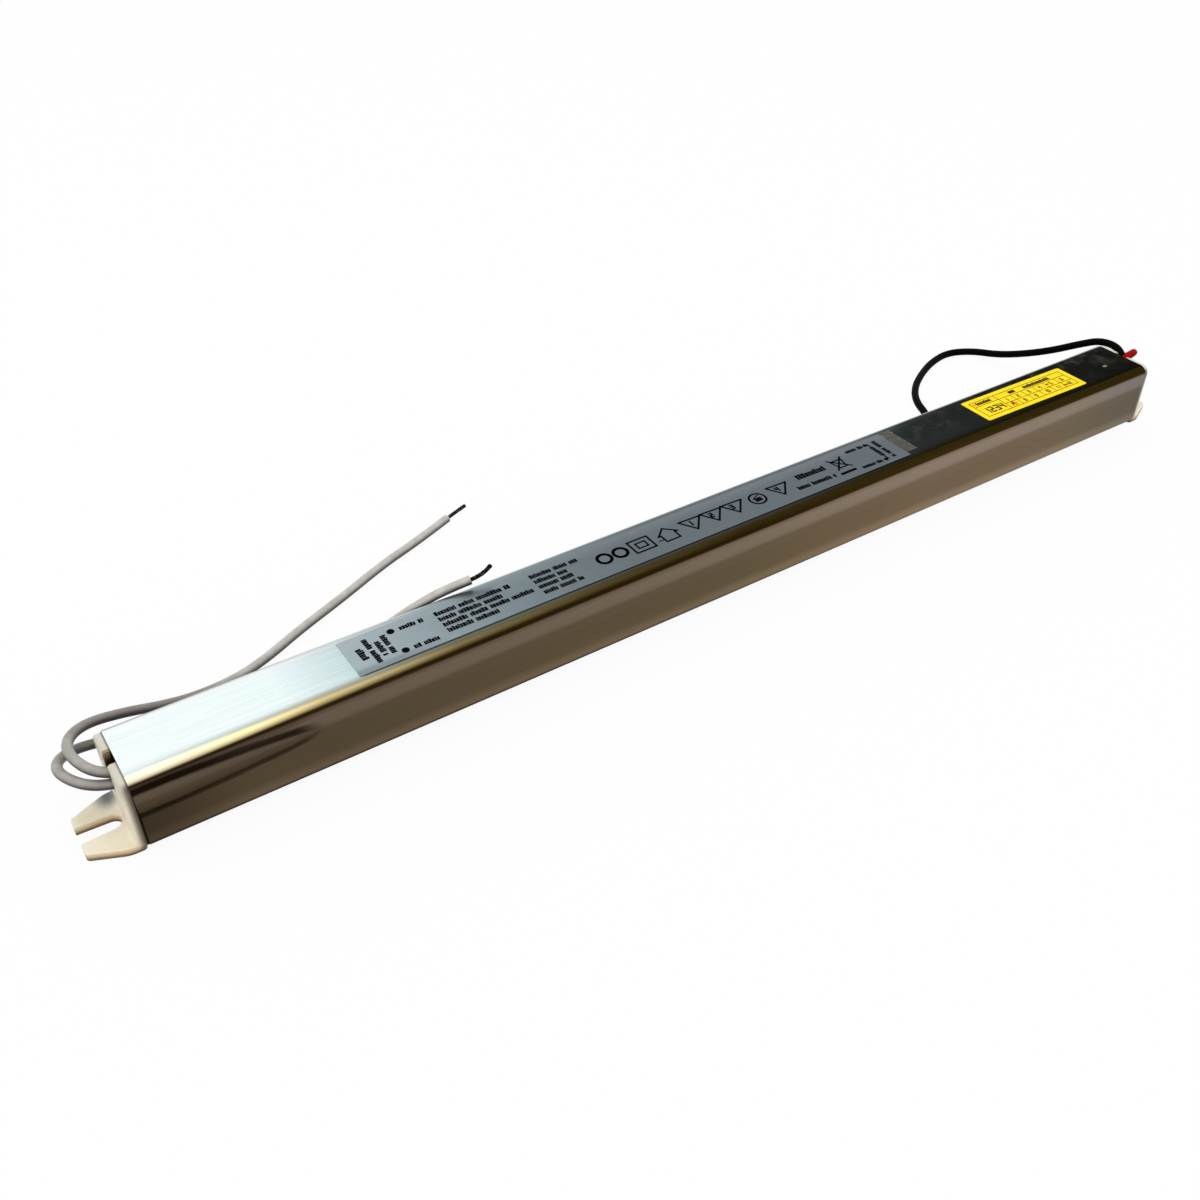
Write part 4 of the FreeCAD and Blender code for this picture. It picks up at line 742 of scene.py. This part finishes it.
NEGATIVE_ROUTE = [
    (124.0, 1.5, 7.25), (130.5, 1.5, 7.25), (136.4, 1.1, 9.7), (142.2, 0.5, 12.0), (147.9, 1.0, 13.7),
    (150.6, 5.4, 16.2), (149.8, 11.4, 16.3), (146.0, 15.6, 14.4), (142.9, 21.8, 10.7), (140.7, 29.6, 6.8),
    (139.6, 38.6, 3.0), (138.0, 47.0, 1.1), (130.6, 50.6, 1.1), (121.6, 48.8, 1.1), (113.0, 44.8, 1.1),
    (105.2, 39.8, 1.1), (99.4, 33.4, 1.1), (96.4, 25.8, 1.1), (90.4, 20.4, 1.1), (82.0, 18.2, 1.1),
    (73.6, 18.6, 1.1), (66.0, 20.2, 1.1),
]
POSITIVE_ROUTE = [
    (124.0, -1.5, 7.25), (130.5, -1.5, 7.25), (136.0, -1.1, 11.0), (141.2, -0.3, 14.2), (146.7, -0.1, 16.8),
    (151.7, 0.8, 16.8), (154.2, 4.8, 12.6), (153.6, 9.4, 8.4), (148.2, 12.8, 5.4), (140.4, 14.4, 2.7),
    (131.4, 14.2, 1.1), (121.4, 13.0, 1.1), (110.4, 13.2, 1.1), (98.6, 12.6, 1.1), (86.0, 12.3, 1.1),
    (73.4, 12.8, 1.1), (62.6, 12.4, 1.1),
]


def smooth_line(name, route):
    """One open NURBS curve on the route's points, in mm."""
    curve = bpy.data.curves.new(name, "CURVE")
    curve.dimensions = "3D"
    spline = curve.splines.new("NURBS")
    spline.points.add(len(route) - 1)
    for point, (x, y, z) in zip(spline.points, route):
        point.co = (x / 1000, y / 1000, z / 1000, 1)
    spline.order_u = 3
    spline.use_endpoint_u = True
    curve.resolution_u = 12
    return curve


def lay_wire(node, route, finish):
    """The insulated wire along its route, in place of the plain solid."""
    curve = smooth_line(node + "_laid", route)
    curve.bevel_depth = WIRE / 2
    curve.bevel_resolution = 6
    curve.use_fill_caps = True
    wire = bpy.data.objects.new(node + "_laid", curve)
    bpy.context.scene.collection.objects.link(wire)
    curve.materials.append(finish.material)
    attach(wire, "root")
    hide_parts(node)


def twist_strands(node, route, tip, strands=5, lay=4.2, reach=0.27, thick=0.23):
    """The stripped end: strands wound round the line that the bare end follows, a little loose at the tip."""
    before, end = Vector(route[-2]), Vector(route[-1])
    onward = end + (end - before).normalized() * STRIPPED
    line = smooth_line(node + "_line", [tuple(end), tuple(onward), tip])
    guide = bpy.data.objects.new(node + "_line", line)
    mesh = bpy.data.meshes.new_from_object(guide)
    middle = [v.co * 1000 for v in mesh.vertices]
    bpy.data.objects.remove(guide)
    bpy.data.meshes.remove(mesh)
    corners, faces = [], []
    whole = (middle[-1] - middle[0]).length
    last = len(middle) - 1
    for strand in range(strands):
        first = len(corners)
        for k, point in enumerate(middle):
            ahead = (middle[min(k + 1, last)] - middle[max(k - 1, 0)]).normalized()
            across = ahead.cross(Vector((0, 0, 1))).normalized()
            up = across.cross(ahead)
            far = (point - middle[0]).length
            turn = math.tau * (strand / strands + far / lay)
            spread = reach * (1 + 0.25 * (far / whole) ** 2 * (strand % 2))
            centre = point + (across * math.cos(turn) + up * math.sin(turn)) * spread
            narrow = thick * (0.55 if k == last else 1.0)
            for side in range(STRAND_SIDES):
                t = math.tau * side / STRAND_SIDES
                corners.append(tuple(centre + (across * math.cos(t) + up * math.sin(t)) * narrow))
        for k in range(last):
            for side in range(STRAND_SIDES):
                a = first + k * STRAND_SIDES + side
                b = first + k * STRAND_SIDES + (side + 1) % STRAND_SIDES
                faces.append((a, b, b + STRAND_SIDES, a + STRAND_SIDES))
        faces.append(tuple(first + side for side in reversed(range(STRAND_SIDES))))
        faces.append(tuple(first + last * STRAND_SIDES + side for side in range(STRAND_SIDES)))
    bundle = put_mesh(node + "_strands_twisted", corners, faces, bare, smooth=True)
    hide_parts(node + "_strands")


def insulation(name, light, dark, darker_tone, under, roughness, gloss):
    """Soft PVC: faintly cloudy, scuffed here and there, darker by the input cap, with painted shade
    underneath.
    """
    pvc = Finish(name, Roughness=roughness, Specular_IOR_Level=gloss)
    normal = pvc.add("ShaderNodeNewGeometry", {}, {}, "Normal")
    facing_up = pvc.add("ShaderNodeSeparateXYZ", {}, [normal], 2)
    cloudy = pvc.grain(420, detail=4.0)
    scuffs = pvc.grain(1600, (1, 1, 1), 6.0, 0.75).between(0.62, 0.75)
    x, y, z = pvc.place()
    # Darker along the stretch by the input cap.
    by_the_cap = x.between(-108, -126) * 0.35 + x.between(-110, -122) * y.between(9, 15) * 0.25
    pvc.feed(Base_Color=pvc.layers(
        pvc.blend(cloudy.between(0.2, 0.8), paint(*light), paint(*dark)),
        (by_the_cap + scuffs * 0.05, darker_tone),
        # Painted shade on the side facing down.
        (facing_up.between(0.85, -0.2) * 0.97, under),
    ))
    pvc.relief(cloudy, 0.05)
    return pvc


# Bare strands: dark brown-black with lighter mottles.
bare = Finish("dark_strands", Metallic=1.0)
mottle = bare.grain(1800, detail=3.0)
bare.feed(Base_Color=bare.blend(mottle.between(0.5, 0.75), paint(28, 22, 19), paint(104, 92, 82)))
bare.feed(Roughness=mottle * 0.3 + 0.25)
pale = insulation("pale_insulation", (202, 200, 195), (180, 175, 166), (84, 72, 62), (44, 38, 42), 0.38, 0.3)
black = insulation("black_insulation", (5, 5, 6), (9, 9, 10), (20, 20, 21), (2, 2, 3), 0.5, 0.02)
red = insulation("red_insulation", (170, 2, 3), (146, 1, 1), (120, 4, 4), (90, 1, 1), 0.5, 0.02)
twist_strands("live_wire", LIVE_ROUTE, (-38.7, 58.7, 1.3))
twist_strands("neutral_wire", NEUTRAL_ROUTE, (-58.8, 7.9, 21.7))
twist_strands("negative_wire", NEGATIVE_ROUTE, (59.8, 21.8, 1.2))
twist_strands("positive_wire", POSITIVE_ROUTE, (56.4, 12.0, 1.2))
lay_wire("live_wire", LIVE_ROUTE, pale)
lay_wire("neutral_wire", NEUTRAL_ROUTE, pale)
lay_wire("negative_wire", NEGATIVE_ROUTE, black)
lay_wire("positive_wire", POSITIVE_ROUTE, red)


# Room: a white table top, an even sky and two soft lamps light the part at a plain level.
# The camera stands where the picture was taken from, with its lens.

HALF_TABLE = 3

bpy.context.scene.view_settings.view_transform = "Standard"
table = bpy.data.meshes.new("table_top")
table.from_pydata([(side_x * HALF_TABLE, side_y * HALF_TABLE, 0)
                   for side_x, side_y in ((-1, -1), (1, -1), (1, 1), (-1, 1))], [], [(0, 1, 2, 3)])
table_top = bpy.data.objects.new("table_top", table)
bpy.context.scene.collection.objects.link(table_top)
white_top = Finish("white_table", Roughness=0.9)
glow = white_top.add("ShaderNodeEmission", {}, {"Color": (1, 1, 1, 1), "Strength": 1.0})
seen = white_top.add("ShaderNodeLightPath", {}, {}, "Is Camera Ray")
mirrored = white_top.add("ShaderNodeLightPath", {}, {}, "Is Glossy Ray")
watched = seen + mirrored
lit = Signal(white_top, white_top.surface.outputs[0])
white_top.feed(Base_Color=white_top.blend(watched, paint(196, 194, 190), paint(243, 243, 243)))
whole = white_top.add("ShaderNodeMixShader", {}, [watched * 0.92, lit, glow])
white_top.tree.links.new(whole.socket, white_top.out.inputs["Surface"])
table.materials.append(white_top.material)


class Sky(Finish):
    """The light from all round, made of nodes in the same way."""

    def __init__(self, name):
        self.world = bpy.data.worlds.new(name)
        self.world.use_nodes = True
        self.tree = self.world.node_tree
        self.surface = self.tree.nodes["Background"]
        self.surface.inputs["Color"].default_value = (1, 1, 1, 1)


sky = Sky("even_sky")
seen = sky.add("ShaderNodeLightPath", {}, {}, "Is Camera Ray")
sky.feed(Strength=sky.add("ShaderNodeMapRange", {}, {"Value": seen, "To Min": 0.95, "To Max": 1.02}))
bpy.context.scene.world = sky.world


def hang_lamp(name, place, size, power):
    """A square soft lamp that points at the middle of the part."""
    lamp = bpy.data.lights.new(name, "AREA")
    lamp.shape = "SQUARE"
    lamp.size = size
    lamp.energy = power
    holder = bpy.data.objects.new(name, lamp)
    holder.location = place
    holder.rotation_euler = (-Vector(place)).to_track_quat("-Z", "Y").to_euler()
    bpy.context.scene.collection.objects.link(holder)


hang_lamp("overhead_lamp", (-0.1, 0.15, 1.0), 0.8, 1.6)
hang_lamp("side_lamp", (-0.5, -0.9, 0.5), 0.6, 0.6)

lens = bpy.data.cameras.new("camera")
lens.lens = 36.919
lens.sensor_width = 36.0
lens.clip_start = 0.01
camera = bpy.data.objects.new("camera", lens)
camera.location = (-0.158247, -0.182741, 0.180788)
camera.rotation_euler = [math.radians(angle) for angle in (51.72, -0.149, -33.748)]
bpy.context.scene.collection.objects.link(camera)
bpy.context.scene.camera = camera
